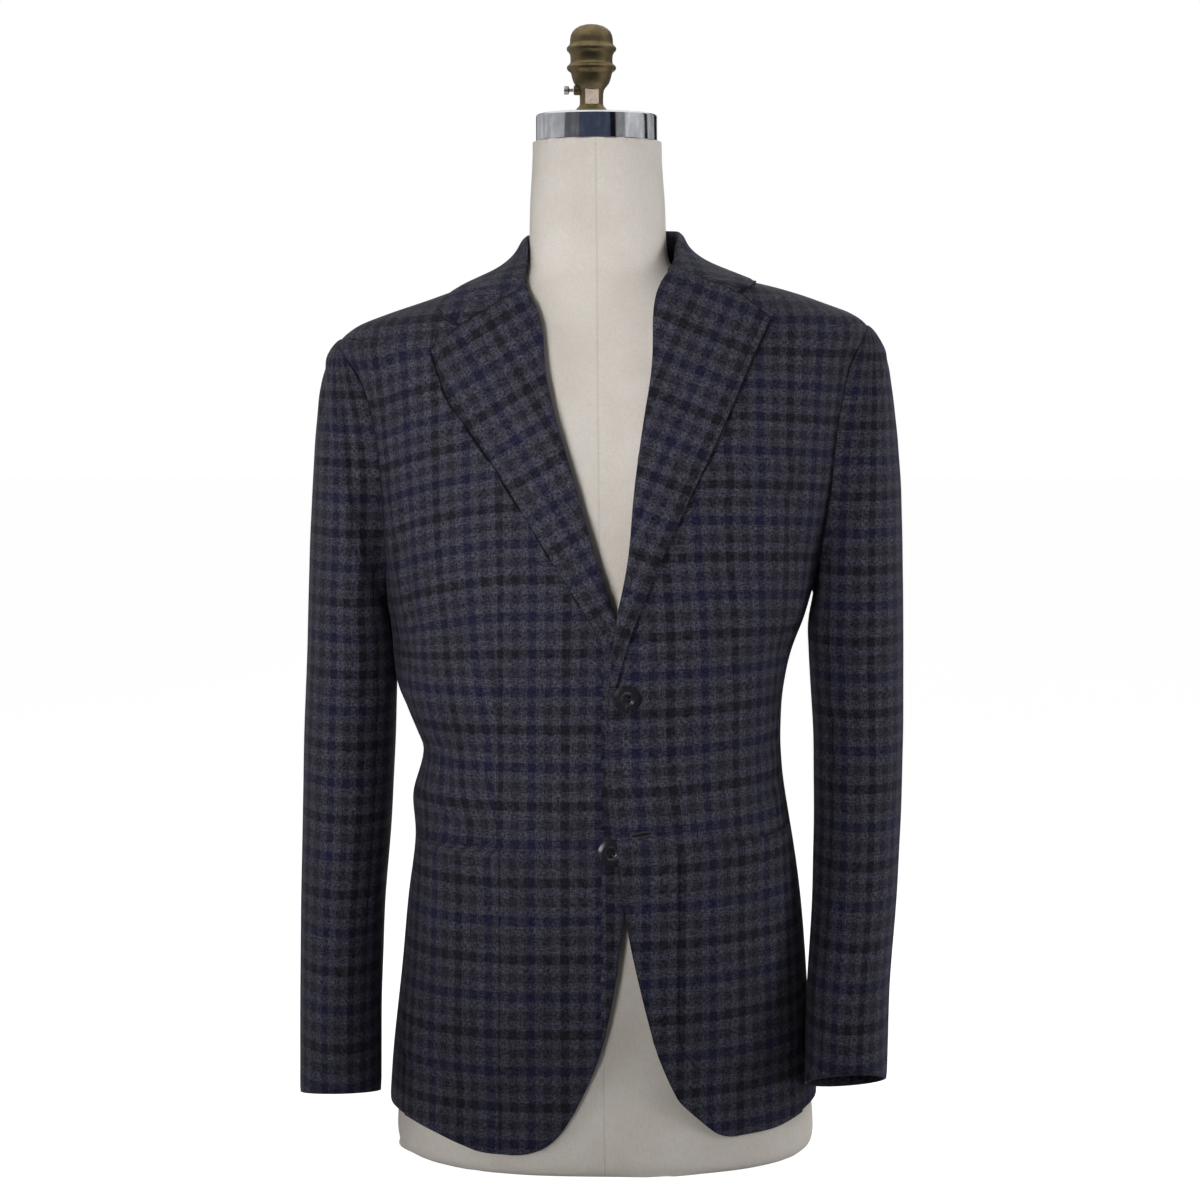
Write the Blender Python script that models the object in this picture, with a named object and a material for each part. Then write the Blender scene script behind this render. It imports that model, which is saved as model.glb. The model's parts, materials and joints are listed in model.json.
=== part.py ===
"""A single-breasted checked wool blazer worn by a limbless tailor's form.

The front faces -Y, the wearer's left is +X, and the form stands on its flat base at z = 0.
Sizes in the tables are millimetres; objects are made in metres.
Every cloth piece is cut from one surface, the worn shape of the jacket's body. A point of it
is (along, height, out): the distance round the body from the centre front, positive to the
wearer's left; the height above the base; and how far the point is moved out of the surface.
"""

import functools
import math

import bmesh
import bpy
import numpy as np
from mathutils import Matrix, Vector

MM = 0.001

# ---- driving sizes, in millimetres ------------------------------------------------------

CLOTH = 2.0  # wall of the jacket's cloth with its canvas
POCKET_CLOTH = 1.2
POCKET_GAP = 0.7
SEAM = 0.3  # gap between neighbouring pieces
LAID_ON = 1.0  # gap under a piece that lies on another
LEAN = 0.026  # the jacket hangs a little higher on the wearer's left
FULLNESS = 2.35  # exponent of the body's sections: 2 is an ellipse, more is squarer
SHOULDER_BACK = 8.0  # the shoulder ridge lies this far behind the form's axis
WAIST = 332.0
HEM_FADE = 105.0  # the hem's curve is spread over the rows up to this height
ARM_TOP = 681.0
ARM_BOTTOM = 460.0
ARM_SEAM = 475.0  # height of the armhole where the side seams meet it
ARM_HALF_WIDTH = 61.0
ARM_CENTRE_Y = 3.0
NECK_POINT = 743.0
BUTTON_RADIUS = 11.0
BUTTON_THICK = 3.6
FASTENED_BUTTON = (19.5, 388.0)  # x and height on the left front
LOWER_BUTTON = (7.5, 264.0)  # x and height on the right front
POCKET_TOP = 266.0
POCKET_FOOT = 84.0
POCKET_NEAR = 62.0  # distance round the body from the centre front
POCKET_FAR = 200.0
POCKET_CORNER = 34.0
WELT = {"near": 62.0, "far": 157.0, "foot": 542.0, "rise": 4.0, "deep": 29.0}
FORM_TOP = 842.0
CAP_RADIUS = 51.8
CAP_TALL = 23.5
FORM_LEAN = -0.0086  # the form leans a little to the wearer's right
FORM_FOOT_X = 3.0
FINIAL_X = -4.7  # the finial stands off the middle of the cap
SCREW_HEIGHT = 21.0  # above the cap, on the finial's neck


class Profile:
    """Named columns of sizes against a running size, read between rows by monotone cubics."""

    def __init__(self, names, rows):
        table = np.array(rows, float)
        self.run = table[:, 0]
        self.columns = dict(zip(names, table[:, 1:].T))
        self.slopes = {name: self._slopes(values) for name, values in self.columns.items()}

    def _slopes(self, values):
        step = np.diff(self.run)
        rate = np.diff(values) / step
        slopes = np.empty(len(values))
        slopes[0], slopes[-1] = rate[0], rate[-1]
        for i in range(1, len(values) - 1):
            before, after = rate[i - 1], rate[i]
            if before * after <= 0:
                slopes[i] = 0.0
            else:
                first, second = 2 * step[i] + step[i - 1], step[i] + 2 * step[i - 1]
                slopes[i] = (first + second) / (first / before + second / after)
        return slopes

    def at(self, name, where):
        """The named size at a running size, held at the table's ends."""
        where = min(max(where, self.run[0]), self.run[-1])
        i = min(int(np.searchsorted(self.run, where, side="right")) - 1, len(self.run) - 2)
        width = self.run[i + 1] - self.run[i]
        t = (where - self.run[i]) / width
        values, slopes = self.columns[name], self.slopes[name]
        return float(
            (2 * t**3 - 3 * t**2 + 1) * values[i]
            + (t**3 - 2 * t**2 + t) * width * slopes[i]
            + (3 * t**2 - 2 * t**3) * values[i + 1]
            + (t**3 - t**2) * width * slopes[i + 1]
        )


def ease(value, start, end):
    """0 before start, 1 after end, and a smooth step between."""
    t = min(max((value - start) / (end - start), 0.0), 1.0)
    return t * t * (3 - 2 * t)


# ---- tables of the jacket, all heights in millimetres -----------------------------------

# The body's sections: half widths to the wearer's right and left, depths to front and back.
BODY = Profile(
    ("right", "left", "front", "back"),
    [
        (10, 179.5, 182.2, 128, 120),
        (39, 179, 181.5, 129, 121),
        (105, 174, 175, 134, 123),
        (165, 167.5, 171, 137, 122),
        (222, 162.5, 165.5, 137, 117),
        (261, 157.5, 159.5, 135, 111),
        (292, 160, 154.5, 133, 105),
        (332, 151, 151, 132, 99),
        (358, 160, 151.5, 134, 98),
        (387, 170, 155, 136, 99),
        (415, 172, 162, 138, 102),
        (434, 173, 170, 139, 104),
        (460, 178, 178, 140, 108),
        (500, 186, 189, 140, 115),
        (540, 192, 200, 137, 120),
        (580, 198.5, 207, 131, 122),
        (620, 206, 214, 121, 121),
        (650, 216, 220, 108, 117),
        (672, 225.5, 226.5, 95, 112),
        (681, 222, 226, 91, 110),
        (686, 216, 220.5, 89, 109),
        (692, 206.5, 211, 87, 107),
        (697, 194, 199, 85, 105),
        (702, 179.5, 186, 82.5, 103),
        (707, 163.5, 173, 80.5, 101),
        (712, 147.5, 158, 78, 98.5),
        (717, 132.5, 141, 75.5, 96),
        (722, 117, 121.5, 73, 93.5),
        (727, 102, 106, 70, 91),
        (732, 89.5, 93, 67.5, 89),
        (738, 79.5, 82, 65, 86),
        (743, 73.5, 75, 63, 84),
        (752, 68, 69, 60, 80),
        (762, 65, 66.5, 58, 77),
        (775, 63.5, 65, 57, 75),
    ],
)

# Where the front and back seams of the side panels run, as depth (y) against height.
SIDE_SEAMS = Profile(
    ("front", "back"),
    [(10, -64, 62), (200, -58, 58), (WAIST, -46, 46), (415, -44, 46), (ARM_SEAM, -27.4, 33.4)],
)

# The hem's height against the distance round the body from the centre front.
HEM = Profile(
    ("right", "left"),
    [
        (60, 20.5, 28),
        (95, 21, 27.5),
        (118, 26, 27.2),
        (145, 33, 28),
        (180, 38.5, 32),
        (225, 40.5, 36.5),
        (300, 40.5, 38),
    ],
)

# Inner edges of the two fronts, as x against height: quarter curve, front edge, roll line.
RIGHT_EDGE = Profile(
    ("x",),
    [
        (20.5, -68),
        (22.5, -57),
        (29, -43),
        (41, -31),
        (60, -20),
        (88, -6.5),
        (133, 6.5),
        (198, 15.5),
        (264, 23),
        (330, 31),
        (375, 34),
        (395, 27),
        (420, 19.5),
        (451, 11),
        (477.5, 2.4),
        (522, -11.2),
        (567, -24),
        (612, -37),
        (657, -48.6),
        (690, -57),
        (703, -63.5),
        (716, -71.5),
        (728, -75.5),
        (736, -75),
        (743, -71),
    ],
)
LEFT_EDGE = Profile(
    ("x",),
    [
        (28, 105),
        (30, 97),
        (36, 88),
        (47, 76),
        (60, 63.5),
        (90, 48.5),
        (132, 35.5),
        (170, 27),
        (215, 18),
        (264, 12.5),
        (305, 7.5),
        (355, 4),
        (388, 4.5),
        (418, 7.5),
        (452, 11.5),
        (477, 16.7),
        (499, 20.7),
        (543, 24.7),
        (588, 30.4),
        (632, 37.5),
        (677, 45.6),
        (700, 50.5),
        (712, 55),
        (722, 61),
        (732, 68),
        (743, 71),
    ],
)

# Lapels: where they start, the roll line's upper end, the notch, the peak and the collar's
# corner, each (x, height), and the outer edge as x against height.
LAPELS = {
    "right": {
        "start": 402.0,
        "neck": (-62.0, 716.0),
        "notch": (-115.8, 686.0),
        "peak": (-139.0, 667.0),
        "corner": (-133.0, 695.0),
        "edge": Profile(
            ("x",),
            [
                (402, 19.0),
                (419, 7.6),
                (463, -18),
                (502, -42),
                (548, -70),
                (593, -99),
                (628, -124),
                (667, -139),
            ],
        ),
    },
    "left": {
        "start": 398.0,
        "neck": (55.5, 729.0),
        "notch": (109.6, 707.0),
        "peak": (137.7, 685.4),
        "corner": (126.5, 715.0),
        "edge": Profile(
            ("x",),
            [
                (398, 11.0),
                (434, 21),
                (459, 30),
                (501, 48),
                (542, 68),
                (591, 92.5),
                (646, 118),
                (685.4, 137.7),
            ],
        ),
    },
}
NOTCH_SHARE = 0.72  # of the way from the neck to the peak or corner

# How far the left front stands out, to lie over the right front, its lapel and its button.
LAP = Profile(
    ("out",),
    [
        (0, 3.4),
        (190, 3.6),
        (240, 6.9),
        (264, 7.5),
        (290, 6.9),
        (345, 4.0),
        (385, 4.6),
        (405, 6.4),
        (455, 7.4),
        (490, 5.0),
        (540, 1.5),
        (580, 0),
    ],
)
LAP_FULL, LAP_GONE = 44.0, 105.0  # x where the lap begins to fade, and where it is gone

# The collar from the centre back (0) to the gorge (1): shares of the half girth and heights
# of the fold and of the leaf's outer edge, and the height of the stand's foot.
COLLAR = Profile(
    ("fold_share", "fold", "edge_share", "edge", "foot"),
    [
        (0.0, 1.0, 769, 1.0, 727, 745.5),
        (0.3, 0.80, 768, 0.78, 727.5, 745.5),
        (0.5, 0.62, 766, 0.58, 730, 745.5),
        (0.65, 0.48, 763, 0.47, 727.5, 746),
        (0.8, 0.37, 756, 0.385, 720, 745.5),
        (1.0, 0.0, 0, 0.0, 0, 0),
    ],
)

# Sleeves from armhole (0) to cuff (1): the inner and outer points of each section, its
# middle and half size from front to back, and how steeply it rises to the front.
SLEEVE_NAMES = ("in_x", "in_z", "out_x", "out_z", "mid_y", "half_y", "rise")
SLEEVES = {
    "right": Profile(
        SLEEVE_NAMES,
        [
            (0.00, 178.6, 459.0, 222.5, 681.0, 3, 61, 0),
            (0.03, 179.6, 456.0, 229.5, 678, 3, 65, 0),
            (0.07, 180.6, 452.0, 232.8, 669, 2, 69, 0),
            (0.11, 180.8, 448.5, 235.8, 654, 2, 71.5, 0),
            (0.16, 180.2, 445.0, 240, 631, 2, 73, 0),
            (0.21, 179.2, 441, 243, 599, 2, 73, 0),
            (0.27, 178.0, 437, 245.4, 559, 3, 72, 0),
            (0.33, 176.8, 432, 247.7, 513, 4, 71, 0),
            (0.39, 175.8, 425, 249.2, 465, 5, 69.5, 0),
            (0.45, 174.4, 404, 250.5, 417, 6, 67.5, 0.01),
            (0.55, 176, 340, 253.3, 347, 7, 64, 0.03),
            (0.65, 179, 271, 254, 277, 2, 61, 0.08),
            (0.76, 183.3, 204, 253.6, 207, -14, 58, 0.14),
            (0.88, 184.4, 130, 252, 132, -34, 55, 0.19),
            (1.00, 183.2, 56.5, 250, 57.5, -52, 52.5, 0.22),
        ],
    ),
    "left": Profile(
        SLEEVE_NAMES,
        [
            (0.00, 178.6, 459.0, 226.5, 681.0, 3, 61, 0),
            (0.03, 179.4, 456, 234.5, 678, 3, 65, 0),
            (0.07, 180.0, 452.5, 239.5, 663, 2, 69, 0),
            (0.11, 180.0, 449, 243.5, 645, 2, 71.5, 0),
            (0.16, 179.2, 446, 247, 620, 2, 73, 0),
            (0.21, 178.2, 442, 250.5, 588, 2, 73, 0),
            (0.27, 177.2, 438, 253.6, 548, 3, 72, 0),
            (0.33, 176.2, 432, 255, 503, 4, 71, 0),
            (0.39, 175.6, 422, 255.8, 455, 5, 69.5, 0),
            (0.45, 176.6, 399, 256.2, 408, 6, 67.5, 0.01),
            (0.55, 180.4, 334, 256.2, 338, 7, 64, 0.04),
            (0.65, 180.2, 267, 253.5, 270, -2, 61, 0.13),
            (0.76, 176.6, 200, 247.1, 202, -26, 58, 0.25),
            (0.88, 169.6, 130, 237.8, 132, -56, 55, 0.33),
            (1.00, 165.8, 61, 232.8, 62.5, -80, 52, 0.365),
        ],
    ),
}
FRONT_SLEEVE_SEAM, BACK_SLEEVE_SEAM = 46.0, 250.0  # degrees round from the inner point
CAP_BLEND = 0.075  # over this share the sleeve turns from the armhole's shape to its own

# The form's sections.
FORM = Profile(
    ("half", "front", "back"),
    [
        (0, 171, 117, 107),
        (3, 174, 120.5, 110.5),
        (9, 175.5, 122.5, 112),
        (20, 175.5, 123, 112.5),
        (40, 174, 123, 113),
        (75, 170.5, 123, 113),
        (115, 166, 123, 113.5),
        (170, 159.5, 122, 112),
        (225, 153.5, 119, 106),
        (280, 147, 116, 97),
        (332, 143, 115, 91),
        (380, 147, 118, 90),
        (430, 159, 122, 95),
        (480, 171, 125, 102),
        (540, 181, 123, 108),
        (600, 187, 113, 109),
        (640, 189, 100, 106),
        (658, 187, 92, 102),
        (670, 179, 87, 99),
        (682, 160, 81, 95),
        (694, 136, 75.5, 90),
        (706, 111, 70, 84.5),
        (718, 87, 64.5, 79),
        (728, 70, 61, 75),
        (740, 61, 58, 70.5),
        (754, 58.4, 55.5, 66.5),
        (772, 57.8, 54, 63),
        (792, 57.2, 53, 60),
        (816, 55.6, 52.5, 56),
        (842, 54.0, 52.5, 53.5),
    ],
)

# The finial's turned outline: radius against height above the neck cap.
FINIAL_OUTLINE = [
    (14.8, 0.3),
    (14.8, 2.8),
    (12.2, 5.8),
    (10.0, 8.8),
    (10.0, 12.0),
    (10.3, 18.5),
    (11.4, 22.2),
    (14.8, 26.2),
    (16.6, 31.0),
    (18.2, 36.6),
    (20.7, 38.6),
    (20.9, 41.0),
    (18.3, 43.8),
    (18.0, 48.0),
    (18.5, 52.4),
    (21.1, 54.8),
    (21.1, 57.2),
    (18.6, 59.7),
    (18.3, 63.4),
    (17.4, 68.8),
    (14.0, 73.2),
    (8.0, 76.2),
    (0.0, 77.0),
]


# ---- the worn surface of the jacket's body ----------------------------------------------

HALF_STEPS = 90  # points that describe half a section


@functools.lru_cache(maxsize=None)
def section(height):
    """One section of the body, from the centre back round the right side, front and left."""
    front, back = BODY.at("front", height), BODY.at("back", height)
    ridge = SHOULDER_BACK * ease(height, 560, 676)
    turn = np.linspace(0, math.pi, HALF_STEPS + 1)
    across = np.abs(np.sin(turn)) ** (2 / FULLNESS)
    lengthways = np.abs(np.cos(turn)) ** (2 / FULLNESS)
    y = np.where(turn < math.pi / 2, ridge - (front + ridge) * lengthways, ridge + (back - ridge) * lengthways)
    left = BODY.at("left", height) * across
    right = BODY.at("right", height) * across
    xs = np.concatenate([-right[::-1], left[1:]])
    ys = np.concatenate([y[::-1], y[1:]])
    run = np.concatenate([[0.0], np.cumsum(np.hypot(np.diff(xs), np.diff(ys)))])
    return run - run[HALF_STEPS], xs, ys


def side_sign(side):
    return -1 if side == "right" else 1


def half_girth(side, height):
    """Distance round the body from the centre front to the centre back."""
    run = section(round(height, 2))[0]
    return -run[0] if side == "right" else run[-1]


def along_at_x(x, height):
    """Distance round the body of the point on the front with this x."""
    run, xs, _ = section(round(height, 2))
    quarter = HALF_STEPS // 2
    front = slice(HALF_STEPS - quarter, HALF_STEPS + quarter + 1)
    return float(np.interp(x, xs[front], run[front]))


def along_at_y(y, height, side):
    """Distance round the body of the point on one side with this depth."""
    run, _, ys = section(round(height, 2))
    if side == "left":
        return float(np.interp(y, ys[HALF_STEPS:], run[HALF_STEPS:]))
    return float(np.interp(y, ys[HALF_STEPS::-1], run[HALF_STEPS::-1]))


def on_section(along, height):
    run, xs, ys = section(round(height, 2))
    return np.array([np.interp(along, run, xs), np.interp(along, run, ys), height])


def worn(along, height, out=0.0):
    """The point of the worn body, moved out of its surface, before the jacket's lean."""
    step = 2.0
    share = along / max(half_girth("left" if along > 0 else "right", height), 1.0)
    low, high = height - step, height + step
    side = "left" if along > 0 else "right"
    up = on_section(share * half_girth(side, high), high) - on_section(share * half_girth(side, low), low)
    beside = on_section(along + step, height) - on_section(along - step, height)
    if abs(share) > 0.985:
        beside = np.array([-1.0, 0.0, 0.0])
    normal = np.cross(beside, up)
    return on_section(along, height) + normal * (out / np.linalg.norm(normal))


def leaned(point):
    """The jacket hangs a little higher on one side; the point in metres."""
    return Vector((point[0], point[1], point[2] + LEAN * point[0])) * MM


# ---- making solids ----------------------------------------------------------------------


def material(name, colour, roughness, metallic=0.0):
    made = bpy.data.materials.new(name)
    made.use_nodes = True
    shader = made.node_tree.nodes["Principled BSDF"]
    shader.inputs["Base Color"].default_value = (*colour, 1)
    shader.inputs["Roughness"].default_value = roughness
    shader.inputs["Metallic"].default_value = metallic
    return made


def finish_object(name, mesh_builder, finish):
    """An object from a bmesh, with faces pointing out and round parts shaded smooth."""
    mesh = bpy.data.meshes.new(name)
    bmesh.ops.recalc_face_normals(mesh_builder, faces=mesh_builder.faces)
    if mesh_builder.calc_volume(signed=True) < 0:
        bmesh.ops.reverse_faces(mesh_builder, faces=mesh_builder.faces)
    mesh_builder.to_mesh(mesh)
    mesh_builder.free()
    mesh.materials.append(finish)
    mesh.shade_smooth()
    mesh.set_sharp_from_angle(angle=math.radians(50))
    made = bpy.data.objects.new(name, mesh)
    bpy.context.scene.collection.objects.link(made)
    return made


def wall(name, outer, inner, finish):
    """A closed wall between two grids of points of the same size."""
    builder = bmesh.new()
    faces = [[[builder.verts.new(point) for point in row] for row in grid] for grid in (outer, inner)]
    rows, columns = len(outer), len(outer[0])
    for i in range(rows - 1):
        for j in range(columns - 1):
            for grid in faces:
                builder.faces.new((grid[i][j], grid[i][j + 1], grid[i + 1][j + 1], grid[i + 1][j]))
    front, behind = faces
    for i in range(rows - 1):
        for j in (0, columns - 1):
            builder.faces.new((front[i][j], front[i + 1][j], behind[i + 1][j], behind[i][j]))
    for j in range(columns - 1):
        for i in (0, rows - 1):
            builder.faces.new((front[i][j], front[i][j + 1], behind[i][j + 1], behind[i][j]))
    return finish_object(name, builder, finish)


def cloth_panel(name, places, finish, thick=CLOTH):
    """A wall of cloth through a grid of (along, height, out) places of the worn body."""
    outer = [[leaned(worn(a, h, o)) for a, h, o in row] for row in places]
    inner = [[leaned(worn(a, h, o - thick)) for a, h, o in row] for row in places]
    return wall(name, outer, inner, finish)


def turned(name, outline, finish, base=(0, 0, 0), axis=(0, 0, 1), steps=28):
    """A solid turned round an axis from (radius, height) points; it closes on the axis."""
    builder = bmesh.new()
    points = list(outline)
    if points[0][0] > 0:
        points.insert(0, (0.0, points[0][1]))
    if points[-1][0] > 0:
        points.append((0.0, points[-1][1]))
    verts = [builder.verts.new((radius * MM, 0, height * MM)) for radius, height in points]
    edges = [builder.edges.new(pair) for pair in zip(verts, verts[1:])]
    bmesh.ops.spin(
        builder,
        geom=verts + edges,
        cent=(0, 0, 0),
        axis=(0, 0, 1),
        angle=2 * math.pi,
        steps=steps,
        use_merge=True,
    )
    bmesh.ops.remove_doubles(builder, verts=builder.verts, dist=1e-5)
    turn = Vector((0, 0, 1)).rotation_difference(Vector(axis)).to_matrix().to_4x4()
    bmesh.ops.transform(builder, matrix=Matrix.Translation(Vector(base) * MM) @ turn, verts=builder.verts)
    return finish_object(name, builder, finish)


def shares(count):
    return [i / (count - 1) for i in range(count)]


# ---- the jacket's pieces ----------------------------------------------------------------

PANEL_ROWS = [39, 70, 105, 160, 215, 261, 292, 312, 332, 346, 366, 387, 410, 430, 445, 460, ARM_SEAM]
ARMHOLE_ROWS = [505, 540, 575, 606, 632, 652, 665, 674, 679, ARM_TOP]
SHOULDER_ROWS = [686, 692, 697, 702, 707, 712, 717, 722, 727, 732, 738, NECK_POINT]
RIGHT_QUARTER_ROWS = [20.5, 23, 29, 40, 54]
LEFT_QUARTER_ROWS = [28, 31, 37, 46, 58]
FRONT_COLUMNS, BACK_COLUMNS, SIDE_COLUMNS = 11, 8, 5


def armhole_y(height, front):
    """Depth of the armhole's front or back branch at a height."""
    middle, half = (ARM_TOP + ARM_BOTTOM) / 2, (ARM_TOP - ARM_BOTTOM) / 2
    reach = math.sqrt(max(0.0, 1 - ((height - middle) / half) ** 2))
    return ARM_CENTRE_Y + (-ARM_HALF_WIDTH if front else ARM_HALF_WIDTH) * reach


def outer_limit(height, side, front):
    """Where a front or back ends at a height: its side seam, the armhole or the shoulder."""
    if height <= ARM_SEAM:
        return along_at_y(SIDE_SEAMS.at("front" if front else "back", height), height, side)
    if height < ARM_TOP:
        return along_at_y(armhole_y(height, front), height, side)
    run, _, ys = section(round(height, 2))
    ridge = SHOULDER_BACK * ease(height, 560, 676)
    blend = ease(height, ARM_TOP, ARM_TOP + 12)
    return along_at_y(ARM_CENTRE_Y * (1 - blend) + ridge * blend, height, side)


def hemmed(side, along, height, lowest):
    """The height of a point whose row starts at this height, once the hem's curve is laid in."""
    if height >= HEM_FADE:
        return height
    lift = max(0.0, HEM.at(side, abs(along)) - lowest)
    return height + lift * (HEM_FADE - height) / (HEM_FADE - lowest)


def lap_out(x, height):
    """How far the left front stands out at a place, where it laps the right one."""
    return LAP.at("out", height) * (1 - ease(x, LAP_FULL, LAP_GONE))


def front(side, finish):
    edge = RIGHT_EDGE if side == "right" else LEFT_EDGE
    quarter = RIGHT_QUARTER_ROWS if side == "right" else LEFT_QUARTER_ROWS
    sign = side_sign(side)
    places = []
    for height in quarter + [h for h in PANEL_ROWS if h > quarter[-1]] + ARMHOLE_ROWS + SHOULDER_ROWS:
        inner = along_at_x(edge.at("x", height), height)
        outer = outer_limit(height, side, True) - sign * SEAM / 2
        row = []
        for share in shares(FRONT_COLUMNS):
            along = inner + (outer - inner) * share
            out = lap_out(on_section(along, height)[0], height) if side == "left" else 0.0
            row.append((along, hemmed(side, along, height, quarter[0]), out))
        places.append(row)
    return cloth_panel(f"front_{side}", places, finish)


def back(side, finish):
    sign = side_sign(side)
    places = []
    for height in PANEL_ROWS + ARMHOLE_ROWS + SHOULDER_ROWS:
        seam = outer_limit(height, side, False) + sign * SEAM / 2
        centre = sign * (half_girth(side, height) - SEAM / 2)
        places.append([(seam + (centre - seam) * share, height, 0.0) for share in shares(BACK_COLUMNS)])
    return cloth_panel(f"back_{side}", places, finish)


def side_panel(side, finish):
    """The panel under the arm; its top follows the bottom of the armhole."""
    sign = side_sign(side)
    lowest = HEM.at(side, 200)
    rows = [(lowest, 0.0)] + [(h, 0.0) for h in PANEL_ROWS[1:] if h <= 430] + [(430.0, k / 3) for k in (1, 2, 3)]
    middle, half = (ARM_TOP + ARM_BOTTOM) / 2, (ARM_TOP - ARM_BOTTOM) / 2
    y_front, y_back = armhole_y(ARM_SEAM, True), armhole_y(ARM_SEAM, False)
    places = []
    for base, rise in rows:
        row = []
        for share in shares(SIDE_COLUMNS):
            reach = (y_front + (y_back - y_front) * share - ARM_CENTRE_Y) / ARM_HALF_WIDTH
            top = middle - half * math.sqrt(1 - reach * reach) - SEAM
            height = base + (top - base) * rise
            near = along_at_y(SIDE_SEAMS.at("front", height), height, side) + sign * SEAM / 2
            far = along_at_y(SIDE_SEAMS.at("back", height), height, side) - sign * SEAM / 2
            along = near + (far - near) * share
            row.append((along, hemmed(side, along, height, lowest), 0.0))
        places.append(row)
    return cloth_panel(f"side_{side}", places, finish)


def bent_line(first, bend, last, share):
    """A point on the line from first to last through bend, which lies at NOTCH_SHARE."""
    if share <= NOTCH_SHARE:
        t = share / NOTCH_SHARE
        return [a + (b - a) * t for a, b in zip(first, bend)]
    t = (share - NOTCH_SHARE) / (1 - NOTCH_SHARE)
    return [a + (b - a) * t for a, b in zip(bend, last)]


LAPEL_SHARES = [0.0, 0.06, 0.2, 0.4, NOTCH_SHARE, 0.88, 1.0]
LAPEL_OUT = Profile(("face", "back"), [(0, 3.2, 1.3), (0.06, 5.4, 1.3), (0.2, 6.2, 2.6), (0.5, 5.4, 3.0), (1, 4.6, 2.7)])
LAPEL_ROWS = [0, 0.06, 0.13, 0.2, 0.28, 0.36, 0.44, 0.52, 0.6, 0.68, 0.76, 0.83, 0.89, 0.94, 0.975, 1]


def lapel(side, finish):
    """The lapel, from the rounded roll line to its outer edge, lying on the front."""
    cut = LAPELS[side]
    edge = RIGHT_EDGE if side == "right" else LEFT_EDGE
    face, back_face = [], []
    for rise in LAPEL_ROWS:
        low = cut["start"]
        neck_height, peak_height = cut["neck"][1], cut["peak"][1]
        roll_z = low + (neck_height - low) * rise
        edge_z = low + (peak_height - low) * rise
        roll = (edge.at("x", roll_z) if rise < 1 else cut["neck"][0], roll_z)
        outer = (cut["edge"].at("x", edge_z), edge_z)
        swing = ease(rise, 0.72, 1.0)
        roll = (roll[0] + (cut["neck"][0] - edge.at("x", neck_height)) * swing if rise < 1 else roll[0], roll_z)
        thin = 0.45 + 0.55 * ease(rise, 0.0, 0.25)
        face_row, back_row = [], []
        for share in LAPEL_SHARES:
            straight = [a + (b - a) * share for a, b in zip(roll, outer)]
            bent = bent_line(cut["neck"], cut["notch"], cut["peak"], share)
            chord = [a + (b - a) * share for a, b in zip(cut["neck"], cut["peak"])]
            x, z = (s + (b - c) * swing for s, b, c in zip(straight, bent, chord))
            z -= SEAM * swing
            lap = lap_out(x, z) if side == "left" else 0.0
            along = along_at_x(x, z)
            face_row.append(leaned(worn(along, z, lap + LAPEL_OUT.at("face", share) * thin)))
            back_row.append(leaned(worn(along, z, lap + max(1.3, LAPEL_OUT.at("back", share) * thin))))
        face.append(face_row)
        back_face.append(back_row)
    return wall(f"lapel_{side}", face, back_face, finish)


COLLAR_STEPS = [0.0, 0.12, 0.24, 0.36, 0.46, 0.55, 0.63, 0.71, 0.79, 0.87, 0.94, 1.0]
# The collar's section: share of the way down the leaf (negative: up the stand), and how far
# its face and its back stand out of the worn surface.
COLLAR_SECTION = [
    (-1.0, -2.8, -1.1),
    (-0.5, -2.8, -1.1),
    (-0.12, -2.4, -0.8),
    (0.0, 0.2, -0.2),
    (0.10, 3.2, 1.8),
    (0.35, 4.9, 3.1),
    (NOTCH_SHARE, 5.2, 3.3),
    (1.0, 4.4, 2.6),
]
FOLD_RISE, FOLD_SINK = 0.9, 1.8  # the fold's outer and inner face, up and down along the leaf
GORGE_STEP = 0.8  # from here the collar runs down to the gorge
GORGE_STAND = 0.07  # at the gorge the stand lies under this share of the leaf


def girth_share(side, x, height):
    """A point on the front as a share of the way round to the centre back, with its height."""
    return abs(along_at_x(x, height)) / half_girth(side, height), height


def collar_line(side, step):
    """The fold, the leaf's edge and the stand's foot at a step, and how far it is at the gorge."""
    cut = LAPELS[side]
    reach = min(step, GORGE_STEP)
    fold = (COLLAR.at("fold_share", reach), COLLAR.at("fold", reach))
    edge = (COLLAR.at("edge_share", reach), COLLAR.at("edge", reach))
    foot = (fold[0], COLLAR.at("foot", reach))
    gorge_fold, gorge_edge = girth_share(side, *cut["neck"]), girth_share(side, *cut["corner"])
    gorge_foot = tuple(a + (b - a) * GORGE_STAND for a, b in zip(gorge_fold, gorge_edge))
    blend = max(0.0, step - GORGE_STEP) / (1 - GORGE_STEP)
    lines = []
    for neck_point, gorge_point in ((fold, gorge_fold), (edge, gorge_edge), (foot, gorge_foot)):
        lines.append(tuple(a + (b - a) * blend for a, b in zip(neck_point, gorge_point)))
    return (*lines, ease(step, GORGE_STEP, 1.0))


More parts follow.
